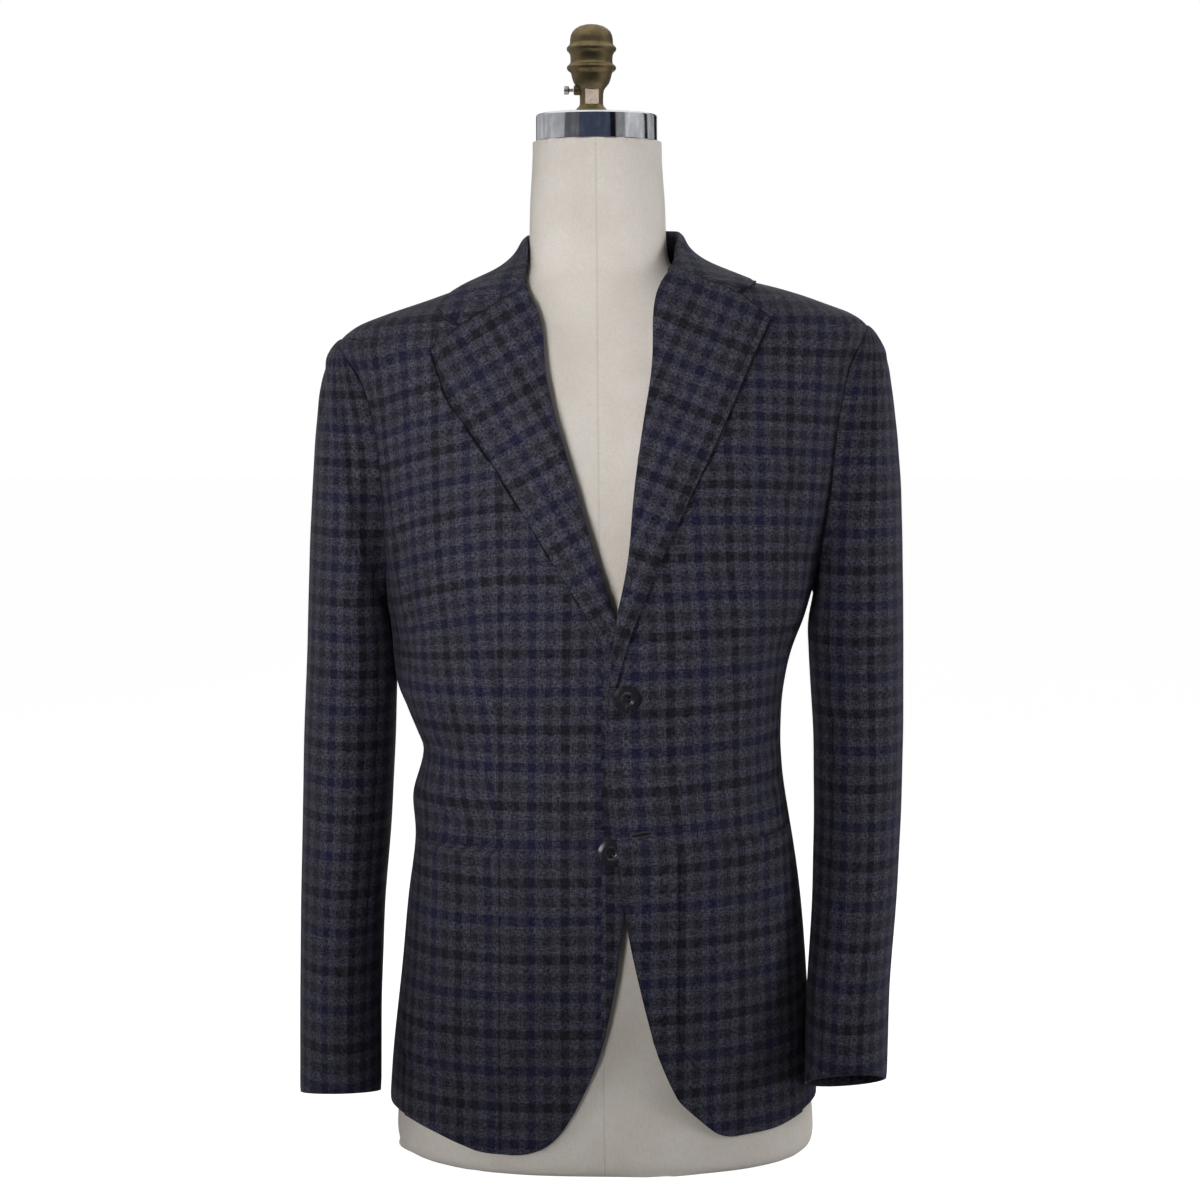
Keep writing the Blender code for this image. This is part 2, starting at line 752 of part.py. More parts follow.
def collar(finish):
    """Stand, fold and leaf in one piece, from one gorge round the neck to the other."""
    stations = [("right", step) for step in COLLAR_STEPS[:0:-1]] + [("left", step) for step in COLLAR_STEPS]
    face, back_face = [], []
    for side, step in stations:
        fold, edge, foot, bent = collar_line(side, step)
        gorge = [LAPELS[side][name] for name in ("neck", "notch", "corner")]
        gorge_ends = girth_share(side, *gorge[0]), girth_share(side, *gorge[2])
        leaf = np.array([(edge[0] - fold[0]) * half_girth(side, fold[1]), edge[1] - fold[1]])
        leaf = leaf / np.linalg.norm(leaf) * (side_sign(side), 1)
        face_row, back_row = [], []
        for share, face_out, back_out in COLLAR_SECTION:
            if share < 0:
                part_girth, z = (a + (b - a) * -share for a, b in zip(fold, foot))
            else:
                straight = [a + (b - a) * share for a, b in zip(fold, edge)]
                line = girth_share(side, *bent_line(*gorge, share))
                chord = [a + (b - a) * share for a, b in zip(*gorge_ends)]
                part_girth, z = (s + (b - c) * bent for s, b, c in zip(straight, line, chord))
                z += (SEAM if share <= NOTCH_SHARE else 0.0) * bent
            along = side_sign(side) * part_girth * half_girth(side, z)
            rise = FOLD_RISE if share == 0 else 0.0
            sink = FOLD_SINK if share == 0 else 0.0
            face_row.append(leaned(worn(along - leaf[0] * rise, z - leaf[1] * rise, face_out)))
            back_row.append(leaned(worn(along + leaf[0] * sink, z + leaf[1] * sink, back_out)))
        face.append(face_row)
        back_face.append(back_row)
    return wall("collar", face, back_face, finish)


def patch_pocket(side, finish):
    """A patch pocket with round lower corners, laid on the front and side panels."""
    sign = side_sign(side)
    places = []
    for height in [84, 86, 92, 104, 118, 135, 160, 187, 215, 240, POCKET_TOP]:
        rise = min(height - POCKET_FOOT, POCKET_CORNER)
        inset = POCKET_CORNER - math.sqrt(POCKET_CORNER**2 - (POCKET_CORNER - rise) ** 2)
        near, far = POCKET_NEAR + inset, POCKET_FAR - inset
        row = []
        for share in shares(12):
            along = near + (far - near) * share
            lap = lap_out(on_section(along, height)[0], height) if side == "left" else 0.0
            gape = 2.4 * ease(height, 225, POCKET_TOP) * math.sin(math.pi * share**1.6)
            row.append((sign * along, height, lap + POCKET_GAP + POCKET_CLOTH + gape))
        places.append(row)
    return cloth_panel(f"patch_pocket_{side}", places, finish, thick=POCKET_CLOTH)


def breast_welt(finish):
    places = []
    for rise in shares(3):
        row = []
        for share in shares(7):
            x = WELT["near"] + (WELT["far"] - WELT["near"]) * share
            height = WELT["foot"] + WELT["rise"] * share + WELT["deep"] * rise
            row.append((along_at_x(x, height), height, lap_out(x, height) + LAID_ON + 1.2))
        places.append(row)
    return cloth_panel("breast_welt", places, finish, thick=1.2)


def armhole_point(side, turn):
    """A point of the armhole's curve; turn runs from the underarm round the front."""
    middle, half = (ARM_TOP + ARM_BOTTOM) / 2, (ARM_TOP - ARM_BOTTOM) / 2
    height = middle - half * math.cos(turn)
    y = ARM_CENTRE_Y - ARM_HALF_WIDTH * math.sin(turn)
    return on_section(along_at_y(y, height, side), height)


def sleeve_point(side, down, turn, inset=0.0):
    """A point of the sleeve: down from armhole to cuff, and round from the inner point."""
    table, sign = SLEEVES[side], side_sign(side)
    inner = np.array([sign * table.at("in_x", down), table.at("in_z", down)])
    outer = np.array([sign * table.at("out_x", down), table.at("out_z", down)])
    middle, half = (inner + outer) / 2, np.linalg.norm(outer - inner) / 2 - inset
    across = (outer - inner) / np.linalg.norm(outer - inner)
    flat = middle - across * half * math.cos(turn)
    ahead = (table.at("half_y", down) - inset) * math.sin(turn)
    own = np.array([flat[0], table.at("mid_y", down) - ahead, flat[1] + ahead * table.at("rise", down)])
    cap = ease(down, 0, CAP_BLEND)
    if cap >= 1:
        return own
    seam = armhole_point(side, turn)
    middle_seam = armhole_point(side, 0) * 0.5 + armhole_point(side, math.pi) * 0.5
    inward = middle_seam - seam
    inward[0] = 0
    seam = seam + inward * (inset / np.linalg.norm(inward)) + np.array([sign * 2 * SEAM, 0, 0])
    return seam * (1 - cap) + own * cap


SLEEVE_ROWS = [0, 0.03, 0.07, 0.11, 0.16, 0.21, 0.27, 0.33, 0.39, 0.45, 0.55, 0.65, 0.76, 0.88, 1.0]


def sleeve_piece(name, side, start, end, columns, finish):
    """The top or under sleeve, between two seams given in degrees round."""
    gap = math.degrees(SEAM / 2 / 50)
    turns = [math.radians(start + gap + (end - start - 2 * gap) * share) for share in shares(columns)]
    outer = [[leaned(sleeve_point(side, down, turn)) for turn in turns] for down in SLEEVE_ROWS]
    inner = [[leaned(sleeve_point(side, down, turn, CLOTH)) for turn in turns] for down in SLEEVE_ROWS]
    return wall(f"{name}_{side}", outer, inner, finish)


def surface_frame(x, height, out):
    """A place on the front and the way it faces, both leaned, for a button."""
    along = along_at_x(x, height)
    foot, tip = leaned(worn(along, height, out)), leaned(worn(along, height, out + 5))
    return foot / MM, (tip - foot).normalized()


def button(name, place, out, finish):
    """A dished button with a raised rim and a short stem of thread."""
    foot, facing = surface_frame(*place, out)
    rim = BUTTON_RADIUS
    outline = [
        (2.0, 0.0),
        (2.2, 0.6),
        (rim - 2.5, 0.7),
        (rim - 0.6, 1.5),
        (rim, 2.4),
        (rim - 0.9, BUTTON_THICK),
        (rim - 2.6, BUTTON_THICK),
        (rim - 4.2, BUTTON_THICK - 1.1),
    ]
    return turned(name, outline, finish, base=foot, axis=facing, steps=22)


# ---- the form ---------------------------------------------------------------------------

FORM_STEPS = 32
FORM_FULLNESS = 2.4


def form_x(height):
    """The middle of the form at a height."""
    return FORM_FOOT_X + FORM_LEAN * height


def form_body(finish):
    """The canvas-covered body, neck and flat base, in one smooth solid."""
    builder = bmesh.new()
    rings = []
    for height in FORM.run:
        half, front_depth, back_depth = (FORM.at(n, height) for n in ("half", "front", "back"))
        squareness = 2 / (FORM_FULLNESS + (2.0 - FORM_FULLNESS) * ease(height, 740, 800))
        ring = []
        for i in range(FORM_STEPS):
            turn = 2 * math.pi * i / FORM_STEPS
            across, ahead = math.sin(turn), math.cos(turn)
            x = form_x(height) + half * math.copysign(abs(across) ** squareness, across)
            depth = front_depth if ahead > 0 else back_depth
            y = -depth * math.copysign(abs(ahead) ** squareness, ahead)
            ring.append(builder.verts.new((x * MM, y * MM, height * MM)))
        rings.append(ring)
    for low, high in zip(rings, rings[1:]):
        for i in range(FORM_STEPS):
            j = (i + 1) % FORM_STEPS
            builder.faces.new((low[i], low[j], high[j], high[i]))
    builder.faces.new(rings[0])
    builder.faces.new(rings[-1])
    return finish_object("form_body", builder, finish)


def neck_cap(finish):
    outline = [
        (CAP_RADIUS - 1.0, SEAM),
        (CAP_RADIUS, SEAM + 1.0),
        (CAP_RADIUS, CAP_TALL - 1.6),
        (CAP_RADIUS - 1.6, CAP_TALL),
    ]
    return turned("neck_cap", outline, finish, base=(form_x(FORM_TOP), 0, FORM_TOP), steps=40)


def finial(finish):
    """The turned knob on the neck, with the boss that its thumb screw turns in."""
    base = Vector((form_x(FORM_TOP) + FINIAL_X, 0, FORM_TOP + CAP_TALL))
    knob = turned("finial", FINIAL_OUTLINE, finish, base=base, steps=28)
    boss_outline = [(4.2, 0.0), (4.2, 9.4), (3.6, 10.2)]
    boss = turned(
        "finial_boss_tool",
        boss_outline,
        finish,
        base=base + Vector((-5.0, 0, SCREW_HEIGHT)),
        axis=(-1, 0, 0),
        steps=14,
    )
    join = knob.modifiers.new("join the boss", "BOOLEAN")
    join.operation = "UNION"
    join.object = boss
    boss.hide_render = True
    boss.display_type = "WIRE"
    return knob


def thumb_screw(finish):
    """The small screw that clamps the finial; it turns about its own axis."""
    left_end = form_x(FORM_TOP) + FINIAL_X - 5.0 - 10.2 - SEAM
    base = Vector((left_end, 0, FORM_TOP + CAP_TALL + SCREW_HEIGHT))
    outline = [(1.5, 0.0), (1.5, 3.4), (3.4, 3.9), (3.7, 4.6), (3.7, 7.2), (3.1, 7.9)]
    return turned("thumb_screw", outline, finish, base=base, axis=(-1, 0, 0), steps=14)


def build():
    for old in list(bpy.data.objects):
        bpy.data.objects.remove(old)
    wool = material("charcoal_navy_wool", (0.034, 0.033, 0.046), 0.95)
    canvas = material("cream_canvas", (0.62, 0.57, 0.50), 0.85)
    chrome = material("chrome", (0.75, 0.76, 0.78), 0.08, 1.0)
    brass = material("aged_brass", (0.23, 0.17, 0.075), 0.42, 1.0)
    steel = material("nickel", (0.45, 0.43, 0.42), 0.3, 1.0)
    horn = material("dark_horn", (0.02, 0.019, 0.024), 0.25)
    for side in ("right", "left"):
        front(side, wool)
        side_panel(side, wool)
        back(side, wool)
        lapel(side, wool)
        patch_pocket(side, wool)
        sleeve_piece("top_sleeve", side, FRONT_SLEEVE_SEAM, BACK_SLEEVE_SEAM, 11, wool)
        sleeve_piece("under_sleeve", side, BACK_SLEEVE_SEAM - 360, FRONT_SLEEVE_SEAM, 9, wool)
    collar(wool)
    breast_welt(wool)
    lap = lap_out(*FASTENED_BUTTON)
    button("button_fastened", FASTENED_BUTTON, lap + SEAM, horn)
    button("button_lower", LOWER_BUTTON, SEAM, horn)
    form_body(canvas)
    neck_cap(chrome)
    finial(brass)
    thumb_screw(steel)


build()
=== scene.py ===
"""The finish of a checked wool blazer that is worn by a limbless dress form.

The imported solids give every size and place. Each cloth piece is made again here as a fine
wall of the same form, with its creases, its woven check and its sewing. The buttons, the
form's cover and its metal fittings are modelled anew where the solids are plain.
Sizes are millimetres in the tables and metres in the meshes. The front faces -Y and the
wearer's left is +X.
"""

import json
import logging
import math
from collections.abc import Callable, Sequence
from dataclasses import dataclass
from enum import Enum

import bpy
import numpy as np
from mathutils import Matrix, Vector
from mathutils.kdtree import KDTree

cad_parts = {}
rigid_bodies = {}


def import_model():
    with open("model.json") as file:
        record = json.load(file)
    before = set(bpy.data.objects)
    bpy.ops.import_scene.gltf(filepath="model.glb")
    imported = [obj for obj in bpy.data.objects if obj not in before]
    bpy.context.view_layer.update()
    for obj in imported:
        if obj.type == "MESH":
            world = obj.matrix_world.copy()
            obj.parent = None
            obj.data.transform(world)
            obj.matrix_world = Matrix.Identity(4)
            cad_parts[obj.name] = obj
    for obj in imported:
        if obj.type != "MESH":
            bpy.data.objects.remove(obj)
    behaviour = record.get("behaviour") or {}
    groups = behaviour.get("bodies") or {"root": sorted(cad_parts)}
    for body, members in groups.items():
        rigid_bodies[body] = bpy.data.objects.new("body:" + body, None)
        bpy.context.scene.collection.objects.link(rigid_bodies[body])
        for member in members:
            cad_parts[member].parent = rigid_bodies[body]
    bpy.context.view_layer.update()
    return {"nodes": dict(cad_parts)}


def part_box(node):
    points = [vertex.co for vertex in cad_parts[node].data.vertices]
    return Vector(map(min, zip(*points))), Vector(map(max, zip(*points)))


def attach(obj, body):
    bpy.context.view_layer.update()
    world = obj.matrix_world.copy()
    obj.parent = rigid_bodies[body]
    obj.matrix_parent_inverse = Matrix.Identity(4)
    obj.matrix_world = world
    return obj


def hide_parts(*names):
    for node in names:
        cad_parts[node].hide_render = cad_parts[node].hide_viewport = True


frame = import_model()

MM = 0.001
log = logging.getLogger("blazer")
Array = np.ndarray
Place = tuple[float, float]
Lay = Callable[[Array, Array], tuple[Array, Array]]


class Side(Enum):
    """The wearer's two sides."""

    RIGHT = "right"
    LEFT = "left"

    @property
    def sign(self) -> int:
        """The sign of x on this side."""
        return -1 if self is Side.RIGHT else 1


class Body(Enum):
    """The two bodies of the frame that pieces ride on."""

    FORM = "dressed_form"
    SCREW = "screw"


def ease(value: Array | float, start: float, end: float) -> Array | float:
    """A smooth step from 0 at start to 1 at end."""
    share = np.clip((value - start) / (end - start), 0.0, 1.0)
    return share * share * (3 - 2 * share)


class Table:
    """Named columns of sizes against a running size, read between rows."""

    def __init__(self, names: Sequence[str], rows: Sequence[Sequence[float]]) -> None:
        """Keeps the rows.

        Args:
            names: the columns' names, without the running size's.
            rows: the running size and the columns' values, in rising order.
        """
        table = np.array(rows, float)
        self.run = table[:, 0]
        self.columns = dict(zip(names, table[:, 1:].T))

    def at(self, name: str, where: Array | float) -> Array:
        """The named size at a running size, held at the table's ends."""
        return np.interp(where, self.run, self.columns[name])


# ---- the modelling bench -----------------------------------------------------------------


class Bench:
    """Blender's operators, each used on one piece with nothing else selected."""

    turned_edge = 38.0  # degrees past which a turned piece's edge stays crisp

    @staticmethod
    def only(piece: bpy.types.Object) -> None:
        """Selects one piece and makes it active."""
        for other in bpy.context.view_layer.objects:
            other.select_set(False)
        piece.select_set(True)
        bpy.context.view_layer.objects.active = piece

    @classmethod
    def edit(cls, piece: bpy.types.Object, mode: str = "VERT") -> None:
        """Opens a piece in edit mode with nothing selected."""
        cls.only(piece)
        bpy.ops.object.mode_set(mode="EDIT")
        bpy.ops.mesh.select_mode(type=mode)
        bpy.ops.mesh.select_all(action="DESELECT")

    @staticmethod
    def close() -> None:
        """Leaves edit mode."""
        bpy.ops.object.mode_set(mode="OBJECT")

    @classmethod
    def pick_sharp(cls, piece: bpy.types.Object, angle: float, crease: float = 0.0) -> None:
        """Selects a piece's edges that are sharper than an angle in degrees, and creases them."""
        cls.edit(piece, "EDGE")
        bpy.ops.mesh.edges_select_sharp(sharpness=math.radians(angle))
        if crease:
            bpy.ops.transform.edge_crease(value=crease)
        cls.close()

    @classmethod
    def smooth(cls, piece: bpy.types.Object, angle: float) -> None:
        """Shades a piece smooth, but for edges that are sharper than an angle in degrees."""
        cls.only(piece)
        bpy.ops.object.shade_smooth_by_angle(angle=math.radians(angle))

    @staticmethod
    def basic(kind: str, name: str, **settings: object) -> bpy.types.Object:
        """One of Blender's own basic meshes, alone in the selection."""
        bpy.ops.object.select_all(action="DESELECT")
        getattr(bpy.ops.mesh, f"primitive_{kind}_add")(**settings)
        piece = bpy.context.object
        piece.name = name
        return piece

    @classmethod
    def cord(
        cls, name: str, places: Sequence[Vector], radius: float, closed: bool = False
    ) -> bpy.types.Object:
        """A round thread through places in metres, with its radius in millimetres."""
        curve = bpy.data.curves.new(name, "CURVE")
        curve.dimensions = "3D"
        curve.bevel_depth = radius * MM
        curve.bevel_resolution = 2
        spline = curve.splines.new("POLY")
        spline.use_cyclic_u = closed
        spline.points.add(len(places) - 1)
        for point, place in zip(spline.points, places):
            point.co = (*place, 1)
        thread = bpy.data.objects.new(name, curve)
        bpy.context.scene.collection.objects.link(thread)
        cls.only(thread)
        bpy.ops.object.convert(target="MESH")
        return bpy.context.object

    @classmethod
    def modify(cls, piece: bpy.types.Object, kind: str, **settings: object) -> None:
        """Adds a modifier with its settings and applies it.

        Args:
            piece: the piece that the modifier works on.
            kind: the modifier's type.
            **settings: values of the modifier's properties.
        """
        cls.only(piece)
        modifier = piece.modifiers.new(kind.lower(), kind)
        for name, value in settings.items():
            setattr(modifier, name, value)
        bpy.ops.object.modifier_apply(modifier=modifier.name)

    @classmethod
    def cast(cls, name: str, outline: Sequence[Place], steps: int = 64) -> bpy.types.Object:
        """A turned piece, drawn up ring by ring from a circle and closed at both ends.

        Args:
            name: the piece's name.
            outline: radius and height of each ring, in millimetres, from the foot up.
            steps: how many sides each ring has.

        Returns:
            The piece, standing on the origin.
        """
        radius, height = outline[0]
        foot = (0, 0, height * MM)
        piece = cls.basic("circle", name, vertices=steps, radius=radius * MM, fill_type="NGON", location=foot)
        piece.data.transform(Matrix.Translation(piece.location))
        piece.location = (0, 0, 0)
        bpy.ops.object.mode_set(mode="EDIT")
        bpy.ops.mesh.select_all(action="SELECT")
        for next_radius, next_height in outline[1:]:
            rise = (next_height - height) * MM
            bpy.ops.mesh.extrude_region_move(TRANSFORM_OT_translate={"value": (0, 0, rise)})
            grow = next_radius / radius
            bpy.ops.transform.resize(value=(grow, grow, 1), center_override=(0, 0, next_height * MM))
            radius, height = next_radius, next_height
        bpy.ops.mesh.select_all(action="SELECT")
        bpy.ops.mesh.normals_make_consistent(inside=False)
        cls.close()
        cls.smooth(piece, cls.turned_edge)
        return piece

    @staticmethod
    def stand(piece: bpy.types.Object, base: Vector, axis: Vector = Vector((0, 0, 1))) -> None:
        """Sets a piece up on a point and turns its +Z to an axis, inside its mesh."""
        turn = Vector((0, 0, 1)).rotation_difference(axis).to_matrix().to_4x4()
        piece.data.transform(Matrix.Translation(base) @ turn)

    @classmethod
    def joined(cls, name: str, pieces: Sequence[bpy.types.Object]) -> bpy.types.Object:
        """Several pieces as one object."""
        cls.only(pieces[0])
        for piece in pieces[1:]:
            piece.select_set(True)
        bpy.ops.object.join()
        joined = bpy.context.object
        joined.name = name
        return joined

    @classmethod
    def copy_of_node(cls, node: str, name: str) -> bpy.types.Object:
        """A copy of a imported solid, merged and turned back into quads.

        Args:
            node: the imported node's name.
            name: the new piece's name.

        Returns:
            The copy, free of its body.
        """
        source = frame["nodes"][node]
        piece = bpy.data.objects.new(name, source.data.copy())
        piece.data.materials.clear()
        bpy.context.scene.collection.objects.link(piece)
        cls.only(piece)
        bpy.ops.object.mode_set(mode="EDIT")
        bpy.ops.mesh.select_all(action="SELECT")
        bpy.ops.mesh.remove_doubles(threshold=0.02 * MM)
        bpy.ops.mesh.tris_convert_to_quads(
            face_threshold=math.radians(50), shape_threshold=math.radians(75), topology_influence=2.0
        )
        bpy.ops.object.mode_set(mode="OBJECT")
        for layers in (piece.data.uv_layers, piece.data.color_attributes):
            for layer in list(layers):
                layers.remove(layer)
        if piece.data.has_custom_normals:
            bpy.ops.mesh.customdata_custom_splitnormals_clear()
        return piece


def rows_of(collection: bpy.types.bpy_prop_collection, name: str) -> Array:
    """A property of three numbers that each of a mesh's elements has, one row each."""
    flat = np.empty(len(collection) * 3, np.float32)
    collection.foreach_get(name, flat)
    return flat.reshape(-1, 3).astype(float)


def points_of(piece: bpy.types.Object) -> Array:
    """A mesh's points in millimetres, one row each."""
    return rows_of(piece.data.vertices, "co") / MM


def normals_of(piece: bpy.types.Object) -> Array:
    """A mesh's point normals, one row each."""
    return rows_of(piece.data.vertex_normals, "vector")


def tree_of(points: Sequence[Array]) -> KDTree:
    """A tree that finds the nearest of some points."""
    tree = KDTree(max(len(points), 1))
    for number, point in enumerate(points):
        tree.insert(point, number)
    tree.balance()
    return tree


def dress(
    piece: bpy.types.Object,
    finish: bpy.types.Material,
    node: str = "",
    body: Body = Body.FORM,
) -> None:
    """Gives a piece its finish and its place in the frame.

    Args:
        piece: the finished piece.
        finish: its material.
        node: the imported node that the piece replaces, if it does.
        body: the body that it rides on.
    """
    piece.data.materials.append(finish)
    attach(piece, body.value)
    if node:
        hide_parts(node)
    log.info("%s: %d faces", piece.name, len(piece.data.polygons))


def set_points(piece: bpy.types.Object, points: Array) -> None:
    """Moves a mesh's points to new places, given in millimetres."""
    piece.data.vertices.foreach_set("co", (points * MM).astype(np.float32).ravel())
    piece.data.update()


# ---- shaders -------------------------------------------------------------------------------


def math_method(operation: str, swapped: bool = False) -> Callable:
    """A method of Number that adds a Math node.

    Args:
        operation: what the node does.
        swapped: takes the number itself last, for Python's reflected operators.
    """

    def method(self: "Number", *others: "Number | float") -> "Number":
        values = (*others, self) if swapped else (self, *others)
        node = self.shader.add("ShaderNodeMath", {"operation": operation}, dict(enumerate(values)))
        return Number(self.shader, node.outputs[0])

    return method


class Number:
    """A number in a shader; Python's operators on it add Math nodes."""

    __add__ = math_method("ADD")
    __radd__ = math_method("ADD", swapped=True)
    __sub__ = math_method("SUBTRACT")
    __rsub__ = math_method("SUBTRACT", swapped=True)
    __mul__ = math_method("MULTIPLY")
    __rmul__ = math_method("MULTIPLY", swapped=True)
    __truediv__ = math_method("DIVIDE")
    __pow__ = math_method("POWER")
    __abs__ = math_method("ABSOLUTE")
    fraction = math_method("FRACT")
    sine = math_method("SINE")
    highest = math_method("MAXIMUM")
    lowest = math_method("MINIMUM")

    def __init__(self, shader: "Shader", socket: bpy.types.NodeSocket) -> None:
        """Wraps an output socket of a shader."""
        self.shader = shader
        self.socket = socket

    def ramp(self, start: float, end: float, low: float = 0.0, high: float = 1.0) -> "Number":
        """A smooth step from low at start to high at end."""
        node = self.shader.add(
            "ShaderNodeMapRange",
            {"interpolation_type": "SMOOTHSTEP"},
            {"Value": self, "From Min": start, "From Max": end, "To Min": low, "To Max": high},
        )
        return Number(self.shader, node.outputs["Result"])


Input = Number | bpy.types.NodeSocket | float | tuple


class Shader:
    """One material's node tree, with short ways to add the nodes that the finishes use."""

    def __init__(self, name: str) -> None:
        """Makes the material with a bare Principled shader."""
        self.material = bpy.data.materials.new(name)
        self.material.use_nodes = True
        self.tree = self.material.node_tree
        self.surface = self.tree.nodes["Principled BSDF"]

    def add(self, kind: str, settings: dict, sockets: dict) -> bpy.types.Node:
        """Adds a node.

        Args:
            kind: the node's type.
            settings: values of its properties, set first; "stops" gives a ramp's stops.
            sockets: values or links of its input sockets, by name or number.

        Returns:
            The node.
        """
        node = self.tree.nodes.new(kind)
        for name, value in settings.items():
            if name == "stops":
                self._set_stops(node, value)
            else:
                setattr(node, name, value)
        for key, value in sockets.items():
            self.feed(node.inputs[key], value)
        return node

    @staticmethod
    def _set_stops(node: bpy.types.Node, stops: Sequence[tuple[float, tuple]]) -> None:
        """Gives a colour ramp its stops, each a place and a colour."""
        elements = node.color_ramp.elements
        while len(elements) < len(stops):
            elements.new(0.5)
        for element, (place, colour) in zip(elements, stops):
            element.position = place
            element.color = (*colour, 1)

    def feed(self, socket: bpy.types.NodeSocket, value: Input) -> None:
        """Links or sets one input socket."""
        if isinstance(value, Number):
            value = value.socket
        if isinstance(value, bpy.types.NodeSocket):
            self.tree.links.new(value, socket)
        elif isinstance(value, tuple) and len(value) == 3 and socket.type == "RGBA":
            socket.default_value = (*value, 1)
        else:
            socket.default_value = value

    def set(self, **values: Input) -> None:
        """Sets the surface's sockets; an underscore stands for a space."""
        for name, value in values.items():
            self.feed(self.surface.inputs[name.replace("_", " ")], value)

    def place(self) -> bpy.types.NodeSocket:
        """The object's own coordinates, in metres."""
        return self.add("ShaderNodeTexCoord", {}, {}).outputs["Object"]

    def weave(self, name: str) -> bpy.types.NodeSocket:
        """A piece's own map along the cloth, in metres."""
        return self.add("ShaderNodeUVMap", {"uv_map": name}, {}).outputs["UV"]

    def attribute(self, name: str) -> Number:
        """A number that is kept on the piece's points."""
        node = self.add("ShaderNodeAttribute", {"attribute_name": name}, {})
        return Number(self, node.outputs["Fac"])

    def split(self, vector: bpy.types.NodeSocket) -> tuple[Number, Number, Number]:
        """The three numbers of a vector."""
        node = self.add("ShaderNodeSeparateXYZ", {}, {0: vector})
        return tuple(Number(self, output) for output in node.outputs)

    def stretch(self, vector: bpy.types.NodeSocket, scale: tuple) -> bpy.types.NodeSocket:
        """A vector with its three numbers scaled."""
        return self.add("ShaderNodeMapping", {}, {"Vector": vector, "Scale": scale}).outputs[0]

    def noise(
        self, vector: bpy.types.NodeSocket, scale: float, detail: float = 2.0, rough: float = 0.5
    ) -> Number:
        """Smooth noise from 0 to 1; scale is in features for each metre."""
        sockets = {"Vector": vector, "Scale": scale, "Detail": detail, "Roughness": rough}
        return Number(self, self.add("ShaderNodeTexNoise", {}, sockets).outputs["Fac"])

    def mix(self, share: Input, first: Input, second: Input) -> bpy.types.NodeSocket:
        """A colour between two."""
        node = self.add("ShaderNodeMix", {"data_type": "RGBA"}, {"Factor": share, 6: first, 7: second})
        return node.outputs[2]

    def shade(self, colour: bpy.types.NodeSocket, amount: Number) -> bpy.types.NodeSocket:
        """A colour made lighter or darker by a number."""
        node = self.add("ShaderNodeVectorMath", {"operation": "SCALE"}, {0: colour, "Scale": amount})
        return node.outputs[0]

    def bump(self, height: Number, distance: float, strength: float = 1.0) -> bpy.types.NodeSocket:
        """A normal from a height between 0 and 1 that stands for a distance in metres."""
        node = self.add("ShaderNodeBump", {}, {"Height": height, "Distance": distance, "Strength": strength})
        return node.outputs["Normal"]


WEAVE_MAP = "weave"
EDGE = "edge"  # a number on the cloth's points for painted shade: 0 on plain cloth, more where an edge is painted dark
WARP_PERIOD = 55.5  # across four coloured stripes of the check
WEFT_PERIOD = 60.6  # along four coloured stripes of the check


